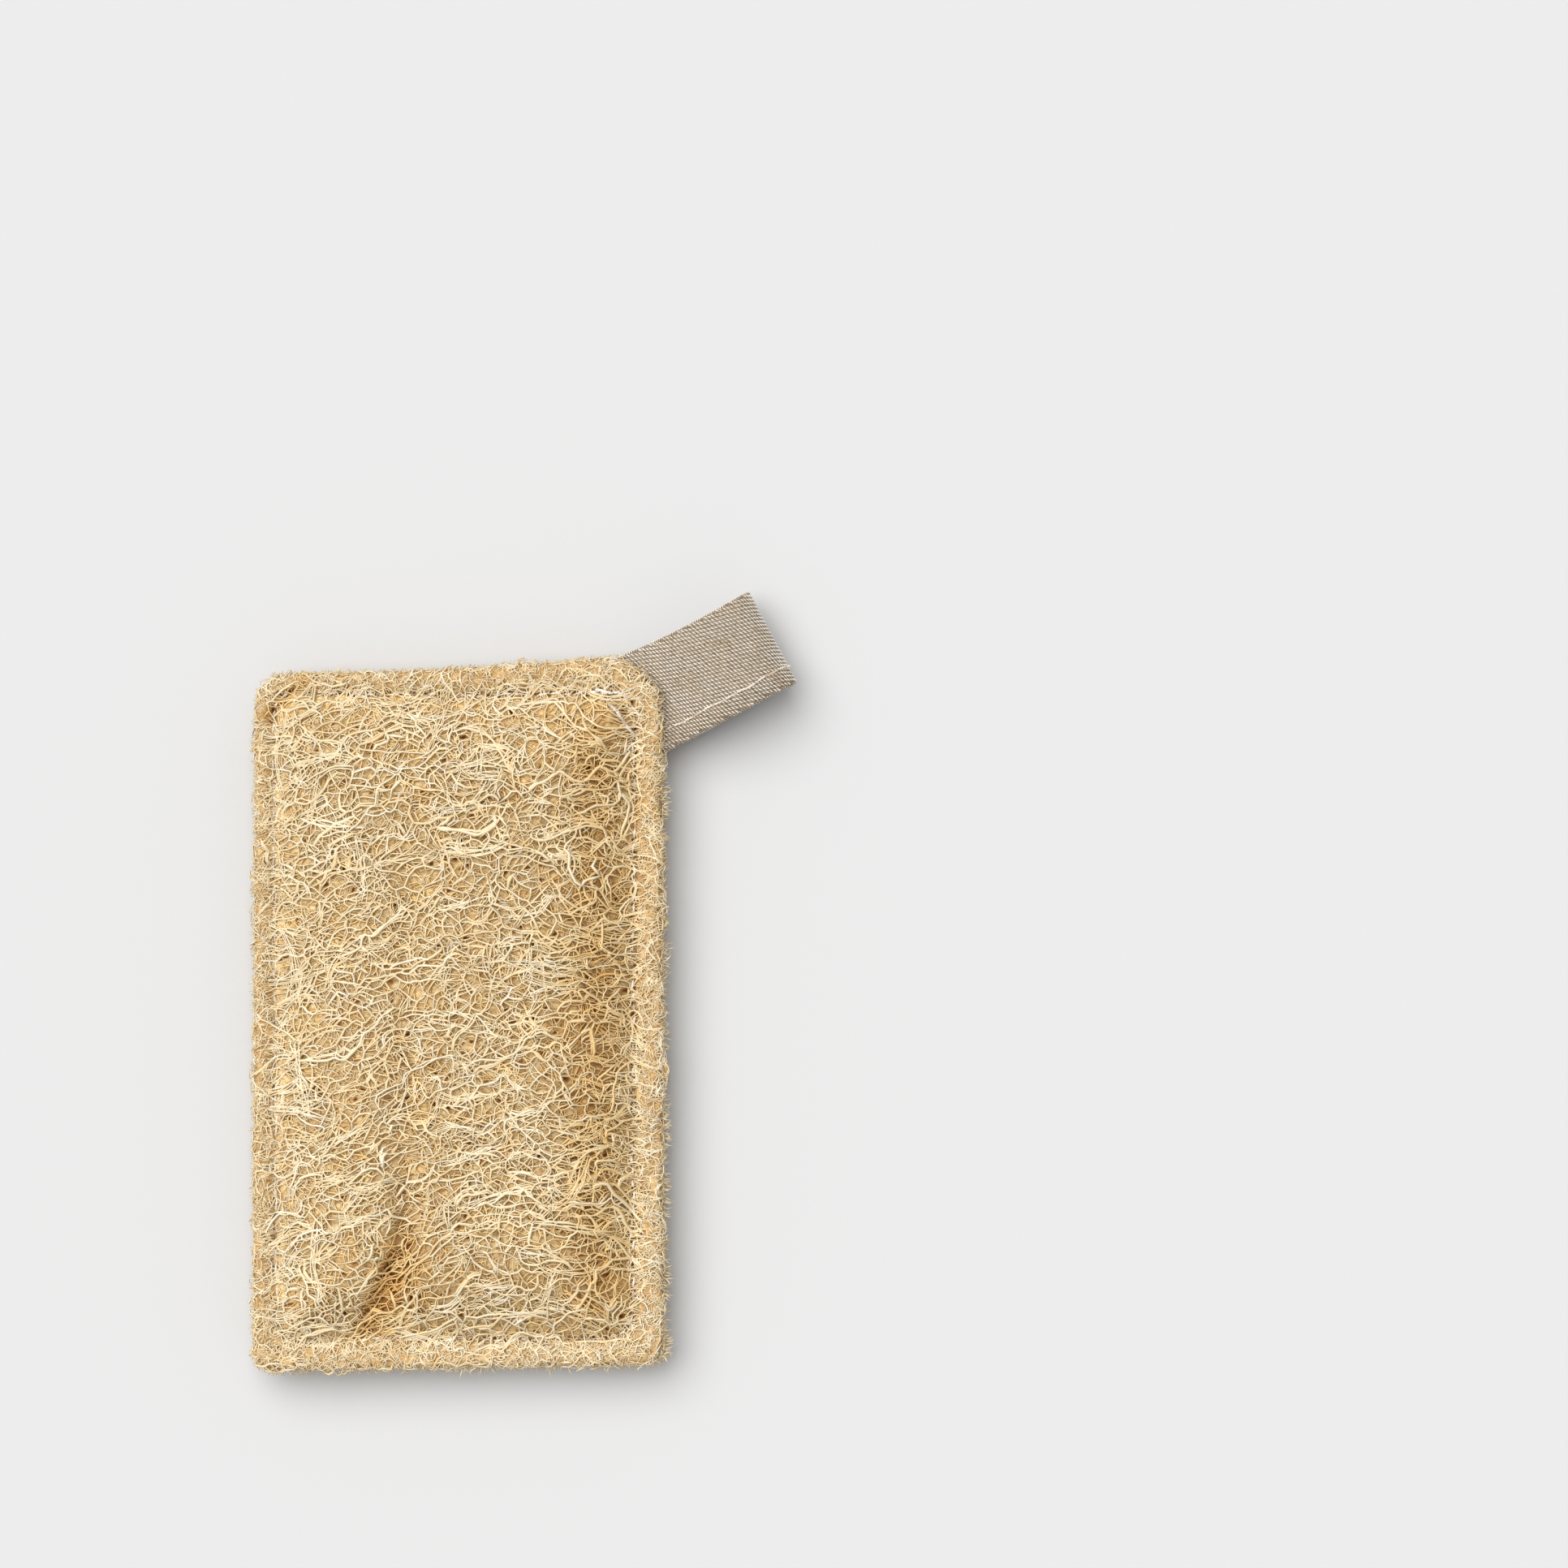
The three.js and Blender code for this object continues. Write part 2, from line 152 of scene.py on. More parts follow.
def noise_of(seed, wavelength, strength=1.0):
    """A smooth seeded noise of two coordinates, as a sum of plane waves, the shortest of them 0.7 and
    the longest 1.6 times as long as the wavelength"""
    rng = np.random.default_rng(seed)
    angles = rng.random(NOISE_WAVES) * math.tau
    lengths = wavelength * (0.7 + 0.9 * rng.random(NOISE_WAVES))
    phases = rng.random(NOISE_WAVES) * math.tau
    u = np.cos(angles) * math.tau / lengths
    v = np.sin(angles) * math.tau / lengths
    size = math.sqrt(2 / NOISE_WAVES)

    def noise(x, y):
        total = 0
        for k in range(NOISE_WAVES):
            total = total + np.sin(u[k] * x + v[k] * y + phases[k])
        return strength * (total * size)

    return noise


def catmull_rom(before, near, far, after, t):
    """The place a share t of the way from near to far, on a smooth curve through all four"""
    return 0.5 * (2 * near + (far - before) * t + (2 * before - 5 * near + 4 * far - after) * t**2
                  + (3 * near - before - 3 * far + after) * t**3)


def length_along(places):
    """The length of a line up to each of its places"""
    steps = np.hypot(*np.diff(places[:, :2], axis=0).T)
    return np.concatenate([[0], np.cumsum(steps)])


def run_ends(owner):
    """Which points are the first and which the last of the run that has their owner"""
    changes = owner[1:] != owner[:-1]
    return np.concatenate([[True], changes]), np.concatenate([changes, [True]])


def neighbours(rows, owner):
    """The row before and the row after each one in its run, or the row itself at the run's end"""
    index = np.arange(len(rows))
    is_first, is_last = run_ends(owner)
    return rows[np.where(is_first, index, index - 1)], rows[np.where(is_last, index, index + 1)]


# Shape of the pad

def pad_place(p, q):
    """Where a place on the pad lies in X and Y"""
    across = p / PAD_WIDTH
    along = q / PAD_LENGTH
    bow = (0.0, 4 * HIGH_BOW * across * (1 - across))
    place = []
    for axis in range(2):
        low = lerp(LOW_LEFT[axis], LOW_RIGHT[axis], across)
        high = lerp(HIGH_LEFT[axis], HIGH_RIGHT[axis], across) - bow[axis]
        place.append(lerp(low, high, along))
    return place


def pad_share(x, y):
    """The pad's own coordinates of a place in X and Y, near enough for a height"""
    across = (x - LOW_LEFT[0]) / (LOW_RIGHT[0] - LOW_LEFT[0])
    low = lerp(LOW_LEFT[1], LOW_RIGHT[1], across)
    high = lerp(HIGH_LEFT[1], HIGH_RIGHT[1], across)
    return across * PAD_WIDTH, (y - low) / (high - low) * PAD_LENGTH


def nearest_corner(p, q):
    """Whether a place is in the left and in the low half, how far it is in from the nearer two sides,
    and the radius of the corner between them"""
    is_left = p < PAD_WIDTH / 2
    is_low = q < PAD_LENGTH / 2
    across = np.where(is_left, p, PAD_WIDTH - p)
    along = np.where(is_low, q, PAD_LENGTH - q)
    radius = np.where(is_low, LOW_RADIUS, np.where(is_left, HIGH_LEFT_RADIUS, HIGH_RIGHT_RADIUS))
    return is_left, is_low, across, along, radius


def rounded_inset(across, along, radius):
    i = radius - across
    j = radius - along
    return radius - np.hypot(np.maximum(i, 0), np.maximum(j, 0)) - np.minimum(np.maximum(i, j), 0)


def insets(p, q):
    """Distance in from the outline, and in from the seam (less than 0 outside it)"""
    is_left, is_low, across, along, radius = nearest_corner(p, q)
    share_along = q / PAD_LENGTH
    share_across = p / PAD_WIDTH
    seam_across = np.where(is_left, lerp(*SEAM_LEFT, share_along), lerp(*SEAM_RIGHT, share_along))
    seam_along = np.where(is_low, lerp(*SEAM_LOW, share_across), lerp(*SEAM_HIGH, share_across))
    from_edge = rounded_inset(across, along, radius)
    from_seam = rounded_inset(across - seam_across, along - seam_along, SEAM_RADIUS)
    return from_edge, from_seam


def crease_drop(x, y):
    y_stations, *columns = np.array(CREASE).T
    position = np.interp(-y, -y_stations, np.arange(len(CREASE)))
    below = np.minimum(position.astype(int), len(CREASE) - 2)
    share = smooth_step(position - below)
    centre, depth, width = [lerp(column[below], column[below + 1], share) for column in columns]
    left_share = lerp(1, CREASE_LEFT_SHARE, change(y, *CREASE_LEFT_CHANGE))
    width = np.where(x < centre, width * left_share, width)
    return depth * bell((x - centre) / width)


def front_crest(x, y):
    across = [x / length for length in LUMP_ACROSS]
    along = [y / length for length in LUMP_ALONG]
    lumps = np.sin(across[0] + along[0]) * np.sin(along[1] - 1) + np.sin(along[2] + across[1])
    ridge = FRONT_CREST - LEFT_RIDGE_DROP * change(x, *LEFT_RIDGE_CHANGE)
    return ridge - crease_drop(x, y) + LUMP_HEIGHT * lumps


def face_height(p, q, face):
    """Height of a layer's outer face over the meeting plane"""
    from_edge, from_seam = insets(p, q)
    x, y = pad_place(p, q)
    swell = SWELL_HEIGHT * bell(np.hypot(x - SWELL_CENTRE[0], y - SWELL_CENTRE[1]) / SWELL_REACH)
    rim_share = np.clip(from_edge / np.maximum(from_edge - from_seam, 0.01), 0, 1)
    rim = lerp(EDGE_HEIGHT, GROOVE_HEIGHT, rim_share)
    rim = rim + RIM_SWELL * np.sin(np.pi * rim_share**RIM_SKEW) + swell
    pillow = 1 - (1 - np.clip(from_seam / PILLOW_REACH, 0, 1)) ** PILLOW_POWER
    crest = front_crest(x, y) if face == FRONT else BACK_CREST
    height = np.where(from_seam < 0, rim, lerp(GROOVE_HEIGHT + swell, crest, pillow))
    return height if face == FRONT else np.minimum(height, MEETING_HEIGHT)


def corner_arc(is_left, is_low, inset_across, inset_along, radius, comes_up):
    """Places round one corner of the outline or the seam, with the direction straight out of the pad"""
    places = []
    for angle in np.radians([0, 22.5, 45, 67.5, 90]):
        i, j = math.cos(angle), math.sin(angle)
        if not comes_up:
            i, j = j, i
        across = inset_across + radius * (1 - i)
        along = inset_along + radius * (1 - j)
        p = across if is_left else PAD_WIDTH - across
        q = along if is_low else PAD_LENGTH - along
        places.append((p, q, -i if is_left else i, -j if is_low else j))
    return places


def loop_places(on_seam, spacing):
    """Evenly spaced places along the outline or the seam, anticlockwise from the strap's corner"""
    corners = [
        (False, False, SEAM_RIGHT[1], SEAM_HIGH[1], HIGH_RIGHT_RADIUS),
        (True, False, SEAM_LEFT[1], SEAM_HIGH[0], HIGH_LEFT_RADIUS),
        (True, True, SEAM_LEFT[0], SEAM_LOW[0], LOW_RADIUS),
        (False, True, SEAM_RIGHT[0], SEAM_LOW[1], LOW_RADIUS),
    ]
    places = []
    for turn, (is_left, is_low, inset_across, inset_along, radius) in enumerate(corners):
        if on_seam:
            radius = SEAM_RADIUS
        else:
            inset_across = inset_along = 0
        places += corner_arc(is_left, is_low, inset_across, inset_along, radius, turn % 2 == 0)
    places = np.array(places + [places[0]])
    distance = length_along(places)
    count = int(distance[-1] / spacing)
    even = np.arange(count) * distance[-1] / count
    return np.stack([np.interp(even, distance, column) for column in places.T], axis=1)


# Holes between the fibres, each with its place (p, q), half length, half width and turn

HOLE_COUNT = 1500
HOLE_SIZES = (0.18, 0.52)
HOLE_SLIMNESS = (0.42, 0.9)
HOLE_TURN_SPREAD = 0.7
# Less than 1 puts more of the holes towards the right
HOLE_CROWDING = 0.75
HOLE_SEAM_DISTANCE = 1.5
HOLE_PUSH = 0.82
HOLE_PUSH_REACH = 1.6
HOLE_PUSH_LIMIT = 4
SEAM_HOLE_SIZE = 0.42
SEAM_HOLE_BAND = 12


def hole_spots(seed, count):
    """Slits of mixed sizes, most of them along the grain"""
    rng = np.random.default_rng(seed)
    p = PAD_WIDTH * rng.random(count) ** HOLE_CROWDING
    q = PAD_LENGTH * rng.random(count)
    size = lerp(*HOLE_SIZES, rng.random(count) ** 3)
    slim = rng.uniform(*HOLE_SLIMNESS, count)
    turn = grain_heading(p, q) + rng.normal(0, HOLE_TURN_SPREAD, count)
    inside = insets(p, q)[1] > HOLE_SEAM_DISTANCE
    return np.stack([p, q, size / slim, size * slim, turn], axis=1)[inside]


def seam_holes():
    """A needle hole at the end of each stitch, on the right and high sides, where they show"""
    spots = loop_places(True, STITCH_PITCH)[:, :2]
    shows = (spots[:, 0] > PAD_WIDTH / 2) | (spots[:, 1] > PAD_LENGTH - SEAM_HOLE_BAND)
    spots = spots[shows]
    return np.hstack([spots, np.full(spots.shape, SEAM_HOLE_SIZE), np.zeros((len(spots), 1))])


def in_hole(p, q, hole):
    """Places along and across a hole from its middle, as shares of its half sizes"""
    hole_p, hole_q, half_length, half_width, turn = hole
    i = ((p - hole_p) * math.cos(turn) + (q - hole_q) * math.sin(turn)) / half_length
    j = ((q - hole_q) * math.cos(turn) - (p - hole_p) * math.sin(turn)) / half_width
    return i, j


def pit_share(p, q, holes):
    """How deep into a hole a place is, from 0 to 1 in the middle of one"""
    share = np.zeros(p.shape)
    for hole in holes:
        i, j = in_hole(p, q, hole)
        share = np.maximum(share, np.exp(-i * i - j * j))
    return share


def part(points, holes):
    """Pushes the points of strands aside from the holes"""
    p, q = points[:, P], points[:, Q]
    for hole in holes:
        _, _, half_length, half_width, turn = hole
        i, j = in_hole(p, q, hole)
        near = np.flatnonzero((np.abs(i) < HOLE_PUSH_LIMIT) & (np.abs(j) < HOLE_PUSH_LIMIT))
        distance = np.maximum(np.hypot(i[near], j[near]), 0.05)
        push = HOLE_PUSH * bell(distance / HOLE_PUSH_REACH) / distance
        along = i[near] * push * half_length
        across = j[near] * push * half_width
        p[near] += along * math.cos(turn) - across * math.sin(turn)
        q[near] += along * math.sin(turn) + across * math.cos(turn)


# Painted shade: places whose colour is darkened because they lie in shade, facing away from the light or
# lying low:
# the slope down to the right seam, the crease and the hollow at its low end, and a small fold across the high
# left corner, whose shade is painted where the shape has no fold

SLOPE_PLACE = 7.0
SLOPE_REACH = 6.5
SLOPE_SHADE = 0.4
SLOPE_LOW_CHANGE = (0, 15)
SLOPE_HIGH_CHANGE = (PAD_LENGTH, PAD_LENGTH - 25)
CREASE_SHADE = 0.12
CREASE_SHADE_LEAST = 0.4
CREASE_SHADE_CHANGE = (34.0, 22.0)
HOLLOW_SHADE = 0.2
HOLLOW_SHADE_PLACE = (32.0, 15.0)
HOLLOW_SHADE_REACH = (11.0, 12.0)
FOLD_START = (-37.0, 57.6)
FOLD_END = (-29.9, 63.9)
FOLD_REACH = 1.1
FOLD_SHADE = 0.55


def fold_share(x, y):
    """How near a place is to the small fold whose shade is painted, from 0 to 1 on it"""
    run = FOLD_END[0] - FOLD_START[0]
    rise = FOLD_END[1] - FOLD_START[1]
    share = ((x - FOLD_START[0]) * run + (y - FOLD_START[1]) * rise) / (run**2 + rise**2)
    share = np.clip(share, 0, 1)
    return bell(np.hypot(x - FOLD_START[0] - share * run, y - FOLD_START[1] - share * rise) / FOLD_REACH)


def two_way_bell(p, q, place, reach):
    """1 at a place and falling towards 0 round it, with its own reach across and along"""
    return np.exp(-(((p - place[0]) / reach[0]) ** 2) - ((q - place[1]) / reach[1]) ** 2)


def shade_share(p, q):
    x, y = pad_place(p, q)
    from_right_seam = PAD_WIDTH - p - lerp(*SEAM_RIGHT, q / PAD_LENGTH)
    slope = bell((from_right_seam - SLOPE_PLACE) / SLOPE_REACH)
    fading_ends = change(q, *SLOPE_LOW_CHANGE) * change(q, *SLOPE_HIGH_CHANGE)
    low_share = lerp(CREASE_SHADE_LEAST, 1, change(q, *CREASE_SHADE_CHANGE))
    hollow = HOLLOW_SHADE * two_way_bell(p, q, HOLLOW_SHADE_PLACE, HOLLOW_SHADE_REACH)
    hollow = hollow + CREASE_SHADE * low_share * crease_drop(x, y)
    inside_seam = change(insets(p, q)[1], -1, 1)
    return SLOPE_SHADE * slope * fading_ends + hollow * inside_seam + FOLD_SHADE * fold_share(x, y)


# Grain of the two faces. Where a net climbs, its strands rise to the right on the left of the pad,
# fall a little on its right, and rise steeply in the hollow at its low end.

CLIMB = 0.06
CLIMB_CHANGE = 0.2
CLIMB_START = 6
HOLLOW_PLACE = (33.0, 21.0)
HOLLOW_REACH = (12.0, 20.0)
HOLLOW_CLIMB = 4.2
# Noises that bend the strands: wavelength and strength of each
DRIFT = (24, 0.9)
RIPPLE = (9, 0.5)
CURL = (4.2, 0.3)
SHIFT = (11, 0.9)
# The pad's uneven cut edge
OUTLINE_WAVE = noise_of(21, 11, 0.28)
OUTLINE_FRAY = noise_of(22, 3.1, 0.12)


def bend_to_grain(points, seed, climbs):
    """Bends level strands to the grain"""
    drift = noise_of(seed, *DRIFT)
    ripple = noise_of(seed + 1, *RIPPLE)
    curl = noise_of(seed + 2, *CURL)
    shift = noise_of(seed + 3, *SHIFT)
    s, t = points[:, P].copy(), points[:, Q].copy()
    climb = CLIMB * s + CLIMB_CHANGE * PAD_WIDTH / np.pi * np.sin(np.pi * s / PAD_WIDTH)
    hollow = HOLLOW_CLIMB * np.tanh((s - HOLLOW_PLACE[0]) / HOLLOW_REACH[0])
    hollow = hollow * bell((t - HOLLOW_PLACE[1]) / HOLLOW_REACH[1])
    points[:, P] = s + shift(s, t) + curl(t, s)
    points[:, Q] = t + climbs * (climb + hollow - CLIMB_START) + drift(s, t) + ripple(s, t) + curl(s, t)


def grain_heading(p, q):
    """The direction that most strands run in at a place"""
    steep = HOLLOW_CLIMB / HOLLOW_REACH[0] * two_way_bell(p, q, HOLLOW_PLACE, HOLLOW_REACH)
    return np.arctan(CLIMB + CLIMB_CHANGE * np.cos(np.pi * p / PAD_WIDTH) + steep)


def outward_heading(p, q, step=0.5):
    """The direction straight out of the pad at a place near its edge"""
    slope_p = insets(p + step, q)[0] - insets(p - step, q)[0]
    slope_q = insets(p, q + step)[0] - insets(p, q - step)[0]
    return np.arctan2(-slope_q, -slope_p)


# Nets of strands

NET_MARGIN = 14.0
NET_JITTER = 0.45
NET_OVERHANG = 0.3
NET_RADIUS_SPREAD = 0.28
NET_TONE = (0.52, 0.18)
LONGEST_LINK = 2.5
STRAND_BREAK_CHANCE = 0.05
STRAND_WHIM = 0.35
NODE_SWELL = 0.3
# Where a strand merges with another: its reach, drop and thickness there
MERGE_SHARE = 0.6
MERGE_DROP = 0.15
MERGE_THICKNESS = 0.5
# A twin: its middle distance, sway, drop and thickness beside the strand it runs with
TWIN_DISTANCE = 0.35
TWIN_SWAY = (9, 0.45)
TWIN_DROP = 0.12
TWIN_THICKNESS = 0.8
FEWEST_POINTS = 3
NO_LIMIT = -50.0


def jittered_seeds(rng, cell_width, cell_length):
    """Seeds in offset rows over the pad and a margin, each moved at random inside its cell"""
    columns = int((PAD_WIDTH + 2 * NET_MARGIN) / cell_width)
    rows = int((PAD_LENGTH + 2 * NET_MARGIN) / cell_length)
    column, row = np.meshgrid(np.arange(columns), np.arange(rows), indexing="ij")
    moves = (rng.random((2, columns, rows)) - 0.5) * 2 * NET_JITTER
    s = (column + 0.5 * (row % 2) + moves[0]) * cell_width - NET_MARGIN
    t = (row + moves[1]) * cell_length - NET_MARGIN
    return np.stack([s.ravel(), t.ravel()], axis=1)


def net_of_cells(seeds, stretch):
    """Nodes and links of the net whose cells surround the seeds: the centres of the triangles
    between the seeds, each linked to its neighbours"""
    squeezed = seeds / (stretch, 1)
    result = delaunay_2d_cdt([Vector(seed) for seed in squeezed], [], [], 0, TINY, True)
    corners = np.array([corner[:] for corner in result[0]])
    triangles = np.array(result[2])
    nodes = corners[triangles].mean(axis=1) * (stretch, 1)
    sides = np.concatenate([triangles[:, pair] for pair in ([0, 1], [1, 2], [2, 0])])
    sides = np.sort(sides, axis=1)
    owner = np.tile(np.arange(len(triangles)), 3)
    key = sides[:, 0] * len(corners) + sides[:, 1]
    order = np.argsort(key, kind="stable")
    shared = np.flatnonzero(np.diff(key[order]) == 0)
    links = np.stack([owner[order][shared], owner[order][shared + 1]], axis=1)
    return nodes, links


def pair_links(nodes, links, rng):
    """For each node and link, the link that carries straight on through the node, if there is one"""
    touching = [[] for _ in nodes]
    for number, (a, b) in enumerate(links):
        touching[a].append((number, b))
        touching[b].append((number, a))
    onward = {}
    breaks = rng.random(len(nodes)) < STRAND_BREAK_CHANCE
    whims = rng.random((len(nodes), 3)) * STRAND_WHIM
    for node, around in enumerate(touching):
        if len(around) < 2 or breaks[node]:
            continue
        directions = []
        for _, far in around:
            step = nodes[far] - nodes[node]
            directions.append(step / max(math.hypot(*step), TINY))
        best = None
        for first in range(len(around)):
            for second in range(first + 1, len(around)):
                turn = directions[first] @ directions[second] + whims[node][first + second - 1]
                if best is None or turn < best[0]:
                    best = (turn, around[first][0], around[second][0])
        onward[node, best[1]] = best[2]
        onward[node, best[2]] = best[1]
    return touching, onward


def merge_link(node, arrived_from, touching, nodes, skipped):
    """The node that a strand ending at a node bends towards: the one it turns least to follow"""
    arriving = nodes[node] - nodes[arrived_from]
    best = None
    for number, far in touching[node]:
        if number == skipped:
            continue
        step = nodes[far] - nodes[node]
        straightness = (arriving @ step) / max(math.hypot(*step), TINY)
        if best is None or straightness > best[0]:
            best = (straightness, far)
    return best[1] if best and best[0] > 0 else None


def trace_strands(nodes, links, rng):
    """Joins the links of a net into strands that run straight on through the nodes. Returns lists of
    nodes, and whether each strand's first and last node lie on another strand that it merges with."""
    touching, onward = pair_links(nodes, links, rng)
    used = np.zeros(len(links), bool)

    def walk(node, link):
        trail = []
        while link is not None and not used[link]:
            used[link] = True
            a, b = links[link]
            node = b if node == a else a
            trail.append((node, link))
            link = onward.get((node, link))
        return trail

    strands = []
    for link in rng.permutation(len(links)):
        if used[link]:
            continue
        start = links[link][0]
        ahead = walk(start, link)
        behind = walk(start, onward.get((start, link)))
        trail = [node for node, _ in reversed(behind)] + [start] + [node for node, _ in ahead]
        first_link = behind[-1][1] if behind else link
        tail = merge_link(trail[-1], trail[-2], touching, nodes, ahead[-1][1])
        head = merge_link(trail[0], trail[1], touching, nodes, first_link)
        merged = (head is not None, tail is not None)
        strands.append(([head] * merged[0] + trail + [tail] * merged[1], merged))
    return strands


def own_nodes(trail, merged, skipped=0):
    """A strand's nodes without those on the strands it merges with, and fewer by some at each end"""
    return trail[merged[0] + skipped:len(trail) - merged[1] - skipped]


def smoothed_nodes(nodes, strands, smoothing):
    """Nodes drawn towards the middle of their neighbours on the strand that runs through them"""
    smooth = nodes.copy()
    for trail, merged in strands:
        own = own_nodes(trail, merged)
        if len(own) < 3:
            continue
        places = nodes[own]
        middle = (places[:-2] + places[2:]) / 2
        smooth[own[1:-1]] = lerp(places[1:-1], middle, smoothing)
    return smooth


def sample_curves(controls, owner, step):
    """Smooth curves through the runs of control points that have the same owner"""
    is_last = run_ends(owner)[1]
    before, after = neighbours(controls, owner)
    start = np.flatnonzero(~is_last)
    before = before[start]
    after = after[start + 1]
    near = controls[start]
    far = controls[start + 1]
    pieces = np.maximum(np.round(np.hypot(*(far - near)[:, :2].T) / step), 1).astype(int)
    piece = np.repeat(np.arange(len(start)), pieces)
    t = (np.arange(len(piece)) - np.repeat(np.cumsum(pieces) - pieces, pieces)) / pieces[piece]
    t = t[:, None]
    curve = catmull_rom(before[piece], near[piece], far[piece], after[piece], t)
    curve[:, RADIUS] *= (1 + NODE_SWELL * (2 * t[:, 0] - 1) ** 2) / (1 + NODE_SWELL / 2)
    points = np.concatenate([curve, controls[is_last]])
    owners = np.concatenate([owner[start][piece], owner[is_last]])
    order = np.argsort(owners, kind="stable")
    return points[order], owners[order]


def keep_runs(points, owner, keep):
    """Strands cut where keep is false, without the pieces that have too few points left"""
    starts = run_ends(owner)[0]
    starts[1:] |= ~keep[:-1]
    run = np.cumsum(starts)[keep]
    long_enough = np.bincount(run)[run] >= FEWEST_POINTS
    _, owner = np.unique(run[long_enough], return_inverse=True)
    return points[keep][long_enough], owner


def trimmed(points, owner, seed, overhang, seam_limit=NO_LIMIT):
    """Strands cut at the pad's edge, some of them poking out, or at a distance outside the seam"""
    p, q = points[:, P], points[:, Q]
    rng = np.random.default_rng(seed)
    poke = rng.random(owner.max() + 1)[owner] * overhang
    from_edge, from_seam = insets(p, q)
    margin = from_edge + OUTLINE_WAVE(p, q) + OUTLINE_FRAY(p, q)
    return keep_runs(points, owner, (margin > -poke) & (from_seam > seam_limit))


def with_twins(points, owner, rng, share):
    """Adds, beside a share of the strands, a thinner one that runs along with it and crosses it"""
    chosen = rng.random(owner.max() + 1)[owner] < share
    twin = points[chosen].copy()
    if len(twin) == 0:
        return points, owner
    tangents = tangents_of(twin[:, :2], owner[chosen])
    side = TWIN_DISTANCE + noise_of(int(rng.integers(1000)), *TWIN_SWAY)(twin[:, P], twin[:, Q])
    twin[:, P] -= tangents[:, 1] * side
    twin[:, Q] += tangents[:, 0] * side
    twin[:, LIFT] -= TWIN_DROP
    twin[:, RADIUS] *= TWIN_THICKNESS
    return joined((points, owner), (twin, owner[chosen]))


def thinned_ends(owner):
    """Shares of full thickness: half of it at the ends of each strand, all of it two points on"""
    counts = np.bincount(owner)
    starts = np.cumsum(counts) - counts
    place = np.arange(len(owner)) - starts[owner]
    from_end = np.minimum(place, counts[owner] - 1 - place)
    return np.clip(0.5 + 0.25 * from_end, 0, 1)


def net_controls(rng, nodes, strands, lift, lift_spread, radius):
    """Control points of a net's strands, with all columns, and the number of each point's strand"""
    node_lift = np.zeros(len(nodes))
    strand_lift = rng.normal(0, lift_spread, len(strands))
    for skipped in (0, 1):
        for number, (trail, merged) in enumerate(strands):
            node_lift[own_nodes(trail, merged, skipped)] = strand_lift[number]
    controls = []
    for trail, merged in strands:
        rows = np.empty((len(trail), 5))
        rows[:, :2] = nodes[trail]
        rows[:, LIFT] = lift + node_lift[trail]
        rows[:, RADIUS] = radius * math.exp(rng.normal(0, NET_RADIUS_SPREAD))
        rows[:, TONE] = rng.normal(*NET_TONE)
        for end, inner in ((0, 1), (-1, -2)):
            if merged[end]:
                rows[end, :2] = lerp(rows[inner, :2], rows[end, :2], MERGE_SHARE)
                rows[end, LIFT] -= MERGE_DROP
                rows[end, RADIUS] *= MERGE_THICKNESS
        controls.append(rows)
    owner = np.repeat(np.arange(len(strands)), [len(rows) for rows in controls])
    return np.concatenate(controls), owner


def net_strands(seed, holes, cell, lift, lift_spread, radius, step=0.9, climbs=0.0, stretch=1.3,
                twins=0.0, seam_limit=NO_LIMIT, smoothing=0.2):
    """The strands of one net, parted by the holes and cut at the pad's edge"""
    rng = np.random.default_rng(seed)
    nodes, links = net_of_cells(jittered_seeds(rng, *cell), stretch)
    reach = np.hypot(*(nodes[links[:, 0]] - nodes[links[:, 1]]).T)
    links = links[reach < LONGEST_LINK * max(cell)]
    strands = trace_strands(nodes, links, rng)
    nodes = smoothed_nodes(nodes, strands, smoothing)
    controls, owner = net_controls(rng, nodes, strands, lift, lift_spread, radius)
    points, owner = with_twins(*sample_curves(controls, owner, step), rng, twins)
    bend_to_grain(points, seed + 7, climbs)
    points, owner = trimmed(points, owner, seed + 1, NET_OVERHANG, seam_limit)
    part(points, holes)
    points[:, RADIUS] *= thinned_ends(owner)
    return points, owner


# Free fibres

FILAMENT_TURN_SPREAD = 1.2
FILAMENT_LIFT_SPREAD = 0.25
BUNDLE_MARGIN = 8
BUNDLE_RADIUS = 0.19
BUNDLE_SPACING = 0.36
BUNDLE_SWAY = 0.3
BUNDLE_END_DROP = 0.45
UPRIGHT_SHARE = 0.12
UPRIGHT_TURN = 1.3
STAR_RAYS = 6
STAR_RADII = (0.26, 0.11)
STAR_END_DROP = 0.4
CURL_RADIUS = 0.12
CURL_BEND = (3, 5.5)
FUR_UNEVENNESS = (0.08, 0.18)
# Painted light and shade in the rim fur's tone: paler at the lit outer edge; on the inner band darker on the
# left, where it faces away from the light, and paler on the right, where it faces it
FUR_LIT_EDGE_TONE = 0.8
FUR_INNER_LIGHT_AND_SHADE_TONES = (0.3, 0.7)


def free_lines(rng, starts, heading, length, bend, points_each, waver=0.12):
    """Curved lines of equally many points, one row of p and of q for each start"""
    share = np.linspace(0, 1, points_each)
    wavers = rng.normal(0, waver, (len(heading), points_each))
    turns = heading[:, None] + bend[:, None] * (share - 0.5) + wavers
    steps = (length / (points_each - 1))[:, None]
    p = starts[:, :1] + np.cumsum(steps * np.cos(turns), axis=1) - steps * np.cos(turns[:, :1])
    q = starts[:, 1:2] + np.cumsum(steps * np.sin(turns), axis=1) - steps * np.sin(turns[:, :1])
    return p, q


def strands_of_lines(p, q, lift, radius, tone):
    """Strands from lines, with the other columns given for each point or each line"""
    points = np.empty((p.size, 5))
    for column, values in ((P, p), (Q, q), (LIFT, lift), (RADIUS, radius), (TONE, tone)):
        points[:, column] = np.broadcast_to(values, p.shape).ravel()
    return points, np.repeat(np.arange(len(p)), p.shape[1])


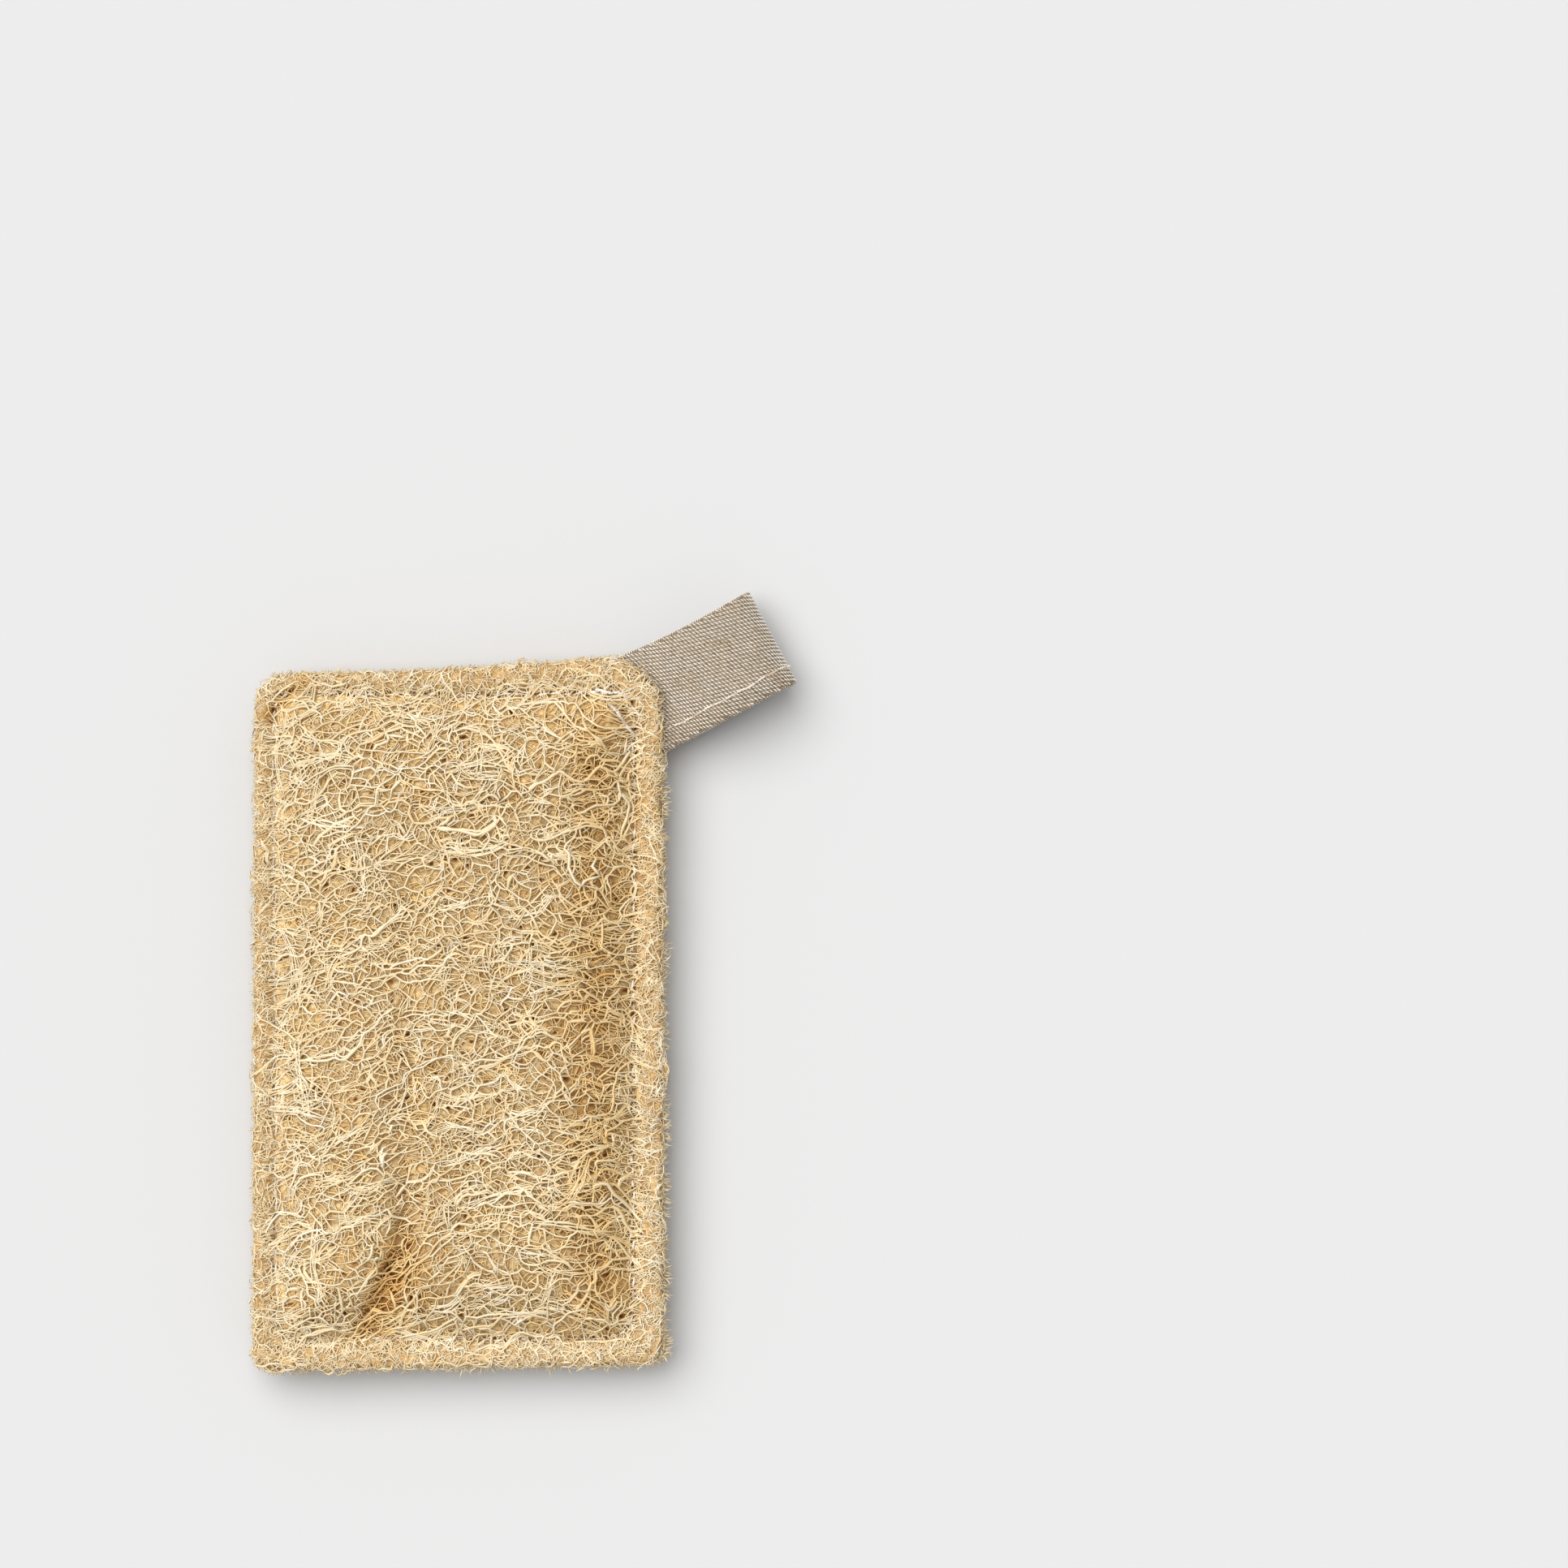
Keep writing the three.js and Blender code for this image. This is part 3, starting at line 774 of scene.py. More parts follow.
def pointed(count, least=0.4):
    """Shares of full thickness along a strand that thins towards both ends"""
    return least + (1 - least) * np.sin(np.linspace(0, np.pi, count)) ** 0.6


def varied_strands(rng, p, q, lift, radius, tone):
    """Pointed strands from lines, with radius and tone given as a middle and a spread"""
    count, points_each = p.shape
    radii = radius[0] * np.exp(rng.normal(0, radius[1], (count, 1))) * pointed(points_each)
    return strands_of_lines(p, q, lift, radii, rng.normal(*tone, (count, 1)))


def joined(*groups):
    """Several groups of strands as one"""
    points = []
    owners = []
    total = 0
    for group_points, group_owner in groups:
        points.append(group_points)
        owners.append(group_owner + total)
        total += group_owner.max() + 1
    return np.concatenate(points), np.concatenate(owners)


def scattered(rng, count):
    """Places spread at random over the pad"""
    return rng.random((count, 2)) * (PAD_WIDTH, PAD_LENGTH)


def filaments(seed, count, lift, radius, length, points_each=5):
    """Fine curved fibres that lie over the grain in all directions"""
    rng = np.random.default_rng(seed)
    starts = scattered(rng, count)
    heading = grain_heading(*starts.T) + rng.normal(0, FILAMENT_TURN_SPREAD, count)
    lengths = length * (0.5 + rng.random(count))
    p, q = free_lines(rng, starts, heading, lengths, rng.normal(0, 0.9, count), points_each)
    lifts = rng.normal(lift, FILAMENT_LIFT_SPREAD, (count, 1)) + rng.normal(0, 0.08, p.shape)
    return varied_strands(rng, p, q, lifts, radius=(radius, 0.3), tone=(0.6, 0.2))


def bundles(seed, count, members, points_each=12):
    """Long strands that run side by side, close up and spread again, with a few bundles upright"""
    rng = np.random.default_rng(seed)
    starts = rng.random((count, 2)) * (PAD_WIDTH + BUNDLE_MARGIN, PAD_LENGTH) - (BUNDLE_MARGIN, 0)
    heading = grain_heading(*starts.T) + rng.normal(0, 0.28, count)
    heading = heading + UPRIGHT_TURN * (rng.random(count) < UPRIGHT_SHARE)
    lengths = 6 + 12 * rng.random(count) ** 1.5
    p, q = free_lines(rng, starts, heading, lengths, rng.normal(0, 0.7, count), points_each, waver=0.06)
    slope_p = np.gradient(p, axis=1)
    slope_q = np.gradient(q, axis=1)
    size = np.hypot(slope_p, slope_q)
    share = np.linspace(0, 1, points_each)
    thickness = BUNDLE_RADIUS * np.exp(rng.normal(0, 0.25, (count, 1)))
    tone = rng.normal(0.58, 0.15, (count, 1))
    groups = []
    for member in range(members):
        phase = rng.random((count, 1)) * math.tau
        waves = 1 + 2 * rng.random((count, 1))
        middle = BUNDLE_SPACING * (member - (members - 1) / 2)
        side = middle + BUNDLE_SWAY * np.sin(phase + waves * np.pi * share)
        lifts = 0.06 + 0.12 * np.sin(phase * 3 + 2 * np.pi * share) - BUNDLE_END_DROP * (2 * share - 1) ** 6
        radii = thickness * rng.uniform(0.7, 1.25, (count, 1)) * pointed(points_each, 0.3)
        tones = tone + rng.normal(0, 0.1, (count, 1))
        member_p = p - side * slope_q / size
        member_q = q + side * slope_p / size
        groups.append(strands_of_lines(member_p, member_q, lifts, radii, tones))
    return joined(*groups)


def stars(seed, stars_made, points_each=5):
    """Junctions where fibres fan out from a pale knot"""
    rng = np.random.default_rng(seed)
    count = stars_made * STAR_RAYS
    centres = np.repeat(scattered(rng, stars_made), STAR_RAYS, axis=0)
    first = np.repeat(rng.random(stars_made) * math.tau, STAR_RAYS)
    heading = first + np.tile(np.arange(STAR_RAYS), stars_made) * math.tau / STAR_RAYS
    heading = heading + rng.normal(0, 0.3, count)
    lengths = 1.8 + 3.2 * rng.random(count)
    p, q = free_lines(rng, centres, heading, lengths, rng.normal(0, 1.1, count), points_each)
    share = np.linspace(0, 1, points_each)
    lifts = 0.05 - STAR_END_DROP * share**1.5
    lifts = lifts + np.repeat(rng.normal(0, 0.1, stars_made), STAR_RAYS)[:, None]
    radii = lerp(*STAR_RADII, share**0.6) * np.exp(rng.normal(0, 0.2, (count, 1)))
    return strands_of_lines(p, q, lifts, radii, rng.normal(0.68, 0.15, (count, 1)))


def curls(seed, count, starts=None, length=(4.0, 3.5), lift=0.1, points_each=9):
    """Fibres curled into part of a ring, with a least length and how much may be added to it"""
    rng = np.random.default_rng(seed)
    if starts is None:
        starts = scattered(rng, count)
    lengths = length[0] + length[1] * rng.random(count)
    bend = rng.choice([-1, 1], count) * rng.uniform(*CURL_BEND, count)
    p, q = free_lines(rng, starts, rng.random(count) * math.tau, lengths, bend, points_each)
    lifts = rng.normal(lift, 0.12, (count, 1))
    return varied_strands(rng, p, q, lifts, radius=(CURL_RADIUS, 0.25), tone=(0.7, 0.2))


def rim_spots(rng, count):
    """Places scattered over the rim, outside the seam"""
    spots = scattered(rng, count * 8)
    from_edge, from_seam = insets(*spots.T)
    return spots[(from_edge > 0.1) & (from_seam < 0.2)][:count]


def rim_fur(seed, count, points_each=4):
    """Short fibres over the rim, most of them pointing out and more uneven on the right, with painted light
    and shade in their tone: paler at the outer edge and on the right, darker on the inner left
    """
    rng = np.random.default_rng(seed)
    spots = rim_spots(rng, count)
    count = len(spots)
    heading = outward_heading(*spots.T) + rng.normal(0, 1.0, count)
    lengths = 1.0 + 2.4 * rng.random(count)
    p, q = free_lines(rng, spots, heading, lengths, rng.normal(0, 1.1, count), points_each)
    right_share = smooth_step((spots[:, 0] - 20) / 50 + (30 - spots[:, 1]) / 60)
    lifts = 0.02 + lerp(*FUR_UNEVENNESS, right_share) * rng.normal(0, 1, count)
    lifts = lifts[:, None] + rng.normal(0, 0.06, p.shape)
    inner_light_and_shade_tone = lerp(*FUR_INNER_LIGHT_AND_SHADE_TONES, right_share)
    tones = lerp(FUR_LIT_EDGE_TONE, inner_light_and_shade_tone, change(insets(*spots.T)[0], 0, 1.6))
    tones = tones + noise_of(seed, 6, 0.1)(*spots.T)
    return varied_strands(rng, p, q, lifts, radius=(0.13, 0.35), tone=(tones[:, None], 0.15))


def free_strands(groups, seed, holes, overhang=0.4, seam_limit=NO_LIMIT):
    """Groups of free strands, parted by the holes and cut at the pad's edge"""
    points, owner = trimmed(*joined(*groups), seed, overhang, seam_limit)
    part(points, holes)
    return points, owner


# Meshes

FLATNESS = 0.8
RIM_SQUEEZE = 0.5
RIM_SQUEEZE_CHANGE = (-1, 5)
# Painted shade by depth: how far below the surface a strand lies when it is painted darkest
FULL_SHADE_DEPTH = 1.3
TONE_RANGE = (0.06, 0.94)
TONE_WAVER = noise_of(41, 3.0, 0.05)
# Painted shade: how far it lowers a strand's tone; how much the ring's sides differ in tone; and how much
# darker the lower side of each ring is painted than its top
SHADE_TONE = 0.35
RING_TONE = 0.05
RING_UNDERSIDE_SHADE = 0.4


def tangents_of(places, owner):
    behind, ahead = neighbours(places, owner)
    tangents = ahead - behind
    return tangents / np.maximum(np.linalg.norm(tangents, axis=1, keepdims=True), 1e-9)


def frame_along(places, owner, normals):
    """Directions across and up from each place of the lines"""
    tangents = tangents_of(places, owner)
    across = np.cross(tangents, normals)
    across /= np.maximum(np.linalg.norm(across, axis=1, keepdims=True), 1e-9)
    return across, np.cross(across, tangents)


def face_normals(face, count):
    return np.tile([0.0, 0.0, float(face)], (count, 1))


def swept_quads(near, far):
    """Faces between rings of vertices"""
    corners = [near, far, np.roll(far, -1, axis=1), np.roll(near, -1, axis=1)]
    return np.stack(corners, axis=2).reshape(-1, 4)


def sweep(places, owner, normals, radii, flatness, sides):
    """Tubes along runs of places: vertices, and faces as a list of index arrays"""
    across, up = frame_along(places, owner, normals)
    vertices = np.empty((len(places), sides, 3))
    for k in range(sides):
        angle = math.pi / 2 + math.tau * k / sides
        wide = (radii * math.cos(angle))[:, None]
        high = (radii * flatness * math.sin(angle))[:, None]
        vertices[:, k] = places + wide * across + high * up
    ring = np.arange(len(places) * sides).reshape(-1, sides)
    is_first, is_last = run_ends(owner)
    quads = swept_quads(ring[:-1][~is_last[:-1]], ring[1:][~is_first[1:]])
    return vertices.reshape(-1, 3), [quads, ring[is_first], ring[is_last][:, ::-1]]


def corners_of(faces):
    return np.concatenate([face.ravel() for face in faces])


def make_piece(name, node, material, vertices, faces, uv, attributes):
    """A piece from vertices in millimetres and faces given as arrays of indices. The texture
    coordinates are given for each corner of each face."""
    mesh = bpy.data.meshes.new(name)
    loops = corners_of(faces).astype(np.int32)
    totals = np.concatenate([np.full(len(face), face.shape[1]) for face in faces]).astype(np.int32)
    mesh.vertices.add(len(vertices))
    mesh.vertices.foreach_set("co", (vertices * MM).astype(np.float32).ravel())
    mesh.loops.add(len(loops))
    mesh.loops.foreach_set("vertex_index", loops)
    mesh.polygons.add(len(totals))
    mesh.polygons.foreach_set("loop_start", (np.cumsum(totals) - totals).astype(np.int32))
    mesh.polygons.foreach_set("loop_total", totals)
    mesh.polygons.foreach_set("use_smooth", np.full(len(totals), True))
    for key, values in attributes.items():
        mesh.attributes.new(key, "FLOAT", "POINT").data.foreach_set("value", values.astype(np.float32))
    mesh.uv_layers.new(name="OFBake").data.foreach_set("uv", uv.astype(np.float32).ravel())
    mesh.update(calc_edges=True)
    mesh.validate()
    piece = placed(name, mesh)
    piece.data.materials.append(material)
    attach(piece, "root")
    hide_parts(node)
    return piece


def placed(name, data):
    """An object in the scene"""
    thing = bpy.data.objects.new(name, data)
    bpy.context.scene.collection.objects.link(thing)
    return thing


def filling(values):
    """Values spread over almost the whole of 0 to 1"""
    low, high = values.min(), values.max()
    return 0.01 + 0.98 * (values - low) / max(high - low, TINY)


def tube_piece(name, node, material, places, owner, normals, radii, tone, depth,
               sides=3, flatness=FLATNESS):
    """Tubes coloured by a tone and by a depth of painted shade at each place. The ring's sides differ a
    little in both, its lower side painted deeper in shade than its top, and both are the texture coordinates,
    so that every face has some width there."""
    vertices, faces = sweep(places, owner, normals, radii, flatness, sides)
    angles = math.pi / 2 + math.tau * np.arange(sides) / sides
    tone = (tone[:, None] + RING_TONE * np.cos(angles)).ravel()
    depth = (depth[:, None] + RING_UNDERSIDE_SHADE * (1 - np.sin(angles)) / 2).ravel()
    uv = np.stack([filling(tone), filling(depth)], axis=1)[corners_of(faces)]
    attributes = {"tone": tone, "depth": depth}
    return make_piece(name, node, material, vertices, faces, uv, attributes)


def fibre_piece(name, face, points, owner, height=None):
    """A piece of many strands lying on one face of the pad, or at given heights over the meeting plane"""
    p, q = points[:, P], points[:, Q]
    if height is None:
        points[:, LIFT] *= lerp(RIM_SQUEEZE, 1, change(insets(p, q)[1], *RIM_SQUEEZE_CHANGE))
        height = face_height(p, q, face) + points[:, LIFT]
    x, y = pad_place(p, q)
    z = np.maximum(MEETING_HEIGHT + face * height, points[:, RADIUS])
    places = np.stack([x, y, z], axis=1)
    # Painted shade: the tone is lowered and the depth raised where the front lies in shade, and the depth is
    # greater for strands that lie lower, which paints them darker
    shade = shade_share(p, q) if face == FRONT else 0
    tone = np.clip(points[:, TONE] - SHADE_TONE * shade, *TONE_RANGE) + TONE_WAVER(p, q)
    depth = np.clip(shade - points[:, LIFT] / FULL_SHADE_DEPTH, 0, 1)
    tube_piece(name, PANELS[face], FIBRE, places, owner, face_normals(face, len(places)),
               points[:, RADIUS], tone, depth)


# Materials

STREAK_SCALE = 1700
STREAK_SQUEEZE = (0.22, 1.0, 1.0)
STREAK_TURNS = (0.3, -0.9, 1.5)
STREAK_MIX = 0.35
WEAVE_SCALE = 2500
WEAVE_BUMP_DISTANCE = 0.0001
WEAVE_BUMP_STRENGTH = 0.6
NOISE_DETAIL = 3
WHITE = (1.0, 1.0, 1.0)


def shader_of(name, roughness, specular=0.35):
    material = bpy.data.materials.new(name)
    material.use_nodes = True
    shader = material.node_tree.nodes["Principled BSDF"]
    shader.inputs["Roughness"].default_value = roughness
    shader.inputs["Specular IOR Level"].default_value = specular
    return material, material.node_tree, shader


def ramped(tree, factor, stops):
    """The colour that a ramp gives for a factor"""
    ramp = tree.nodes.new("ShaderNodeValToRGB")
    elements = ramp.color_ramp.elements
    while len(elements) < len(stops):
        elements.new(0.5)
    for element, (position, colour) in zip(elements, stops):
        element.position = position
        element.color = (*colour, 1)
    tree.links.new(factor, ramp.inputs["Fac"])
    return ramp.outputs["Color"]


def attribute_value(tree, name):
    node = tree.nodes.new("ShaderNodeAttribute")
    node.attribute_name = name
    return node.outputs["Fac"]


def mixed_colour(tree, blend, factor, first, second):
    mix = tree.nodes.new("ShaderNodeMix")
    mix.data_type = "RGBA"
    mix.blend_type = blend
    mix.inputs["Factor"].default_value = factor
    tree.links.new(first, mix.inputs["A"])
    tree.links.new(second, mix.inputs["B"])
    return mix.outputs["Result"]


def yarn_material(name, roughness, tones, depth_shades):
    """A material whose colour follows each strand's tone, with painted shade that darkens it by its depth"""
    material, tree, shader = shader_of(name, roughness)
    tone = ramped(tree, attribute_value(tree, "tone"), tones)
    depth = ramped(tree, attribute_value(tree, "depth"), [(0.0, WHITE)] + depth_shades)
    tree.links.new(mixed_colour(tree, "MULTIPLY", 1.0, tone, depth), shader.inputs["Base Color"])
    return material


def noise_value(tree, scale, squeeze=WHITE, turn=0.0):
    """A noise of the place on the object, drawn out along a direction"""
    place = tree.nodes.new("ShaderNodeNewGeometry")
    mapping = tree.nodes.new("ShaderNodeMapping")
    mapping.inputs["Rotation"].default_value = (0, 0, turn)
    mapping.inputs["Scale"].default_value = squeeze
    noise = tree.nodes.new("ShaderNodeTexNoise")
    noise.inputs["Scale"].default_value = scale
    noise.inputs["Detail"].default_value = NOISE_DETAIL
    tree.links.new(place.outputs["Position"], mapping.inputs["Vector"])
    tree.links.new(mapping.outputs["Vector"], noise.inputs["Vector"])
    return noise.outputs["Fac"]


def core_material():
    """The matted fibre under the nets: golden tan, streaked three ways, with painted shade that darkens it in
    the pits, on the front's shaded places, under the rim and on its walls
    """
    material, tree, shader = shader_of("loofah_core", 0.8, 0.2)
    stops = [
        (0.38, (0.52, 0.30, 0.095)),
        (0.50, (0.79, 0.57, 0.24)),
        (0.60, (0.92, 0.75, 0.435)),
    ]
    streaks = []
    for turn in STREAK_TURNS:
        streaks.append(ramped(tree, noise_value(tree, STREAK_SCALE, STREAK_SQUEEZE, turn), stops))
    colour = mixed_colour(tree, "LIGHTEN", STREAK_MIX, streaks[0], streaks[1])
    colour = mixed_colour(tree, "MIX", STREAK_MIX, colour, streaks[2])
    # Painted shade in the pits and on the shaded places
    pits = ramped(tree, attribute_value(tree, "painted_core_shade"), [
        (0.10, WHITE),
        (0.45, (0.55, 0.34, 0.18)),
        (0.80, (0.26, 0.11, 0.04)),
    ])
    tree.links.new(mixed_colour(tree, "MULTIPLY", 1.0, colour, pits), shader.inputs["Base Color"])
    return material


def strap_gap_shade_material():
    """A dark sheet under the pale floats of the twill, painted as the shade in the gaps between them"""
    material, tree, shader = shader_of("twill_gap_shade", 0.9, 0.2)
    noise = noise_value(tree, WEAVE_SCALE)
    # Painted shade: the dark seen in the gaps between the floats
    colour = ramped(tree, noise, [
        (0.35, (0.16, 0.12, 0.08)),
        (0.65, (0.34, 0.27, 0.19)),
    ])
    tree.links.new(colour, shader.inputs["Base Color"])
    bump = tree.nodes.new("ShaderNodeBump")
    bump.inputs["Distance"].default_value = WEAVE_BUMP_DISTANCE
    bump.inputs["Strength"].default_value = WEAVE_BUMP_STRENGTH
    tree.links.new(noise, bump.inputs["Height"])
    tree.links.new(bump.outputs["Normal"], shader.inputs["Normal"])
    return material


# Loofah fibre: its own tones by strand, with painted shade by depth that darkens and warms the strands lying
# low or in shade
FIBRE = yarn_material("loofah_fibre", 0.6, [
    (0.0, (0.78, 0.60, 0.33)),
    (0.35, (0.85, 0.70, 0.455)),
    (0.65, (0.88, 0.78, 0.575)),
    (1.0, (0.90, 0.84, 0.71)),
], [
    (0.45, (1.0, 0.88, 0.64)),
    (1.0, (0.84, 0.60, 0.30)),
])
# Twill floats: their own tones, with painted shade where they dip into the weave and on their undersides
TWILL = yarn_material("twill_float", 0.8, [
    (0.0, (0.66, 0.56, 0.44)),
    (0.5, (0.97, 0.885, 0.75)),
    (1.0, (0.99, 0.97, 0.92)),
], [
    (1.0, (0.80, 0.73, 0.65)),
])
# Sewing thread: its own tones, darkened at random along it, with painted shade on the undersides of its plies
THREAD = yarn_material("seam_thread", 0.5, [
    (0.0, (0.76, 0.66, 0.54)),
    (1.0, (0.92, 0.87, 0.79)),
], [
    (1.0, (0.70, 0.58, 0.48)),
])
CORE = core_material()
STRAP_GAP_SHADE = strap_gap_shade_material()


# Loofah pieces

CORE_INSET = 1.0
CORE_DEPTHS = (0.4, 1.15)
CORE_DEPTH_CHANGE = (3, 11)
CORE_ROUGHNESS = 0.15
CORE_LEAST_HEIGHT = 0.4
PIT_DEPTH = 1.5
# Painted shade on the core: how much of the front's painted shade it takes, and how dark it is painted under
# the rim and on its walls
CORE_SHADE = 0.8
RIM_CORE_SHADE = 0.26
WALL_CORE_SHADE = 0.34
# Where the core's faces lie in the texture coordinates
CORE_UV_SHARE = 0.9
WALL_UV = (0.92, 0.96)
FLOOR_UV = (0.97, 0.03)


def round_corners(p, q, inset):
    """Draws the square corners of a grid in to the pad's rounded ones"""
    is_left, is_low, across, along, radius = nearest_corner(p, q)
    across = across - inset
    along = along - inset
    i = np.clip(1 - across / radius, 0, 1)
    j = np.clip(1 - along / radius, 0, 1)
    rounds = (i > 0) & (j > 0)
    across = np.where(rounds, radius * (1 - i * np.sqrt(1 - j * j / 2)), across) + inset
    along = np.where(rounds, radius * (1 - j * np.sqrt(1 - i * i / 2)), along) + inset
    return np.where(is_left, across, PAD_WIDTH - across), np.where(is_low, along, PAD_LENGTH - along)


def core_faces(index, face, flat):
    """Faces of a grid of vertices with its walls and floor, their texture coordinates, and the
    vertices round the grid's border"""
    cells = [index[:-1, :-1], index[1:, :-1], index[1:, 1:], index[:-1, 1:]]
    quads = np.stack(cells, axis=2).reshape(-1, 4)
    border = np.concatenate([index[:-1, 0], index[-1, :-1], index[:0:-1, -1], index[0, :0:-1]])
    count = len(border)
    floor = index.size + np.arange(count)
    walls = np.stack([border, floor, np.roll(floor, -1), np.roll(border, -1)], axis=1)
    share = np.arange(count) / count
    ahead = share + 1 / count
    wall_uv = np.empty((count, 4, 2))
    wall_uv[:, :, 0] = [WALL_UV[0], WALL_UV[1], WALL_UV[1], WALL_UV[0]]
    wall_uv[:, :, 1] = np.stack([share, share, ahead, ahead], axis=1)
    floor_uv = (FLOOR_UV[0], 0) + (FLOOR_UV[1], 1.0) * flat[border][::-1]
    faces = [quads, walls, floor[None, ::-1]]
    uvs = [flat[quads], wall_uv, floor_uv[None]]
    if face == BACK:
        faces = [group[:, ::-1] for group in faces]
        uvs = [group[:, ::-1] for group in uvs]
    return faces, np.concatenate([group.reshape(-1, 2) for group in uvs]), border


def core_piece(name, face, holes, spacing):
    """The matted fibre under the nets: a closed body a little inside the pad's surface"""
    columns = int(PAD_WIDTH / spacing)
    rows = int(PAD_LENGTH / spacing)
    i, j = np.meshgrid(np.linspace(0, 1, columns), np.linspace(0, 1, rows), indexing="ij")
    p = CORE_INSET + i * (PAD_WIDTH - 2 * CORE_INSET)
    q = CORE_INSET + j * (PAD_LENGTH - 2 * CORE_INSET)
    p, q = round_corners(p, q, CORE_INSET)
    pits = pit_share(p, q, holes)
    rough = noise_of(31, 4, CORE_ROUGHNESS)(p, q) + noise_of(32, 1.9, CORE_ROUGHNESS)(p, q)
    from_edge, from_seam = insets(p, q)
    below = lerp(*CORE_DEPTHS, change(from_edge, *CORE_DEPTH_CHANGE))
    height = face_height(p, q, face) - below + rough - PIT_DEPTH * pits
    height = np.maximum(height, CORE_LEAST_HEIGHT)
    x, y = pad_place(p, q)
    outer = np.stack([x, y, MEETING_HEIGHT + face * height], axis=2).reshape(-1, 3)
    index = np.arange(columns * rows).reshape(columns, rows)
    flat = np.stack([p.ravel() / PAD_WIDTH, q.ravel() / PAD_LENGTH], axis=1) * CORE_UV_SHARE
    faces, uv, border = core_faces(index, face, flat)
    inner = outer[border]
    inner[:, 2] = MEETING_HEIGHT + face * LAYER_GAP / 2

    # Painted shade: the core is darkened in its pits, on the front's shaded places, under the rim and on the
    # walls where the layers meet
    if face == FRONT:
        pits = np.maximum(pits, CORE_SHADE * shade_share(p, q))
    pits = np.maximum(pits, RIM_CORE_SHADE * change(from_seam, 0.5, -0.5))
    painted_core_shade = np.concatenate([pits.ravel(), np.full(len(border), WALL_CORE_SHADE)])
    vertices = np.concatenate([outer, inner])
    piece = make_piece(name, PANELS[face], CORE, vertices, faces, uv, {"painted_core_shade": painted_core_shade})


def front_fibres(holes):
    top = net_strands(101, holes, cell=(3.3, 2.3), lift=0.08, lift_spread=0.2, radius=0.265, climbs=1.0,
                      stretch=1.35, twins=0.5, seam_limit=-2.5, smoothing=0.35)
    fibre_piece("front_net", FRONT, *top)
    middle = net_strands(102, holes, cell=(2.4, 1.9), lift=-0.15, lift_spread=0.25, radius=0.215,
                         climbs=0.7, stretch=1.15)
    fibre_piece("front_middle_net", FRONT, *middle)
    fine = net_strands(103, holes, cell=(2.2, 1.9), lift=-0.6, lift_spread=0.22, radius=0.2, step=1.0,
                       climbs=0.3, stretch=1.1)
    fibre_piece("front_fine_net", FRONT, *fine)
    groups = [bundles(111, 130, members=4), stars(112, 80), curls(113, 320)]
    fibre_piece("front_bundles", FRONT, *free_strands(groups, 114, holes, overhang=0.2, seam_limit=-1.5))
    over = filaments(121, 2200, lift=-0.05, radius=0.12, length=3.2)
    under = filaments(123, 3300, lift=-0.7, radius=0.14, length=2.6, points_each=4)
    fibre_piece("front_filaments", FRONT, *free_strands([over, under], 122, holes))


def back_fibres(holes):
    top = net_strands(201, holes, cell=(3.4, 2.5), lift=-0.1, lift_spread=0.15, radius=0.24, step=1.3,
                      seam_limit=-1.0)
    fibre_piece("back_net", BACK, *top)
    fine = net_strands(202, holes, cell=(3.3, 2.6), lift=-0.5, lift_spread=0.2, radius=0.24, step=1.6)
    fibre_piece("back_fine_net", BACK, *fine)


def rim_fibres(name, face, seed, count):
    """Fur on the rim of one face, with a ring among every six"""
    rng = np.random.default_rng(seed + 20)
    ring_spots = rim_spots(rng, count // 6)
    rings = curls(seed + 10, len(ring_spots), ring_spots, length=(2.0, 2.5), lift=0.12)
    points, owner = trimmed(*joined(rim_fur(seed, count), rings), seed + 30, overhang=0.35)
    fibre_piece(name, face, points, owner)


WALL_SPACING = 0.5
WALL_FIBRES = 900
WALL_HEIGHTS = (-0.25, EDGE_HEIGHT)
WALL_INSET = (0.3, 0.9)
FRINGE_SPACING = 0.22
FRINGE_INSET = (0.9, 2.0)
FRINGE_LENGTH = (0.9, 2.3)
# Length of the fringe on the high left, as a share of that on the low right
FRINGE_SHORTEST = 0.65


def wall_strands(rng, count, points_each=4):
    """Fibres that lie along the cut edge, some of them across the line where the layers meet, with the
    height of each point over that line"""
    outline = loop_places(False, WALL_SPACING)
    outline = np.concatenate([outline, outline[:1]])
    index = np.arange(len(outline))
    starts = rng.random((count, 2)) * (index[-1] * WALL_SPACING, EDGE_HEIGHT + 0.4)
    heading = rng.choice([0, math.pi], count) + rng.normal(0, 0.6, count)
    lengths = rng.uniform(1.2, 3.6, count)
    around, height = free_lines(rng, starts, heading, lengths, rng.normal(0, 1.5, count), points_each)
    place = around / WALL_SPACING % index[-1]
    p, q, out_p, out_q = [np.interp(place, index, column) for column in outline.T]
    inset = rng.uniform(*WALL_INSET, (count, 1))
    # Fibres set further in lie lower, and so are painted darker with shade
    points, owner = varied_strands(rng, p - out_p * inset, q - out_q * inset, -0.6 * inset,
                                   radius=(0.14, 0.25), tone=(0.6, 0.2))
    return points, owner, np.clip(height - 0.3, *WALL_HEIGHTS).ravel()


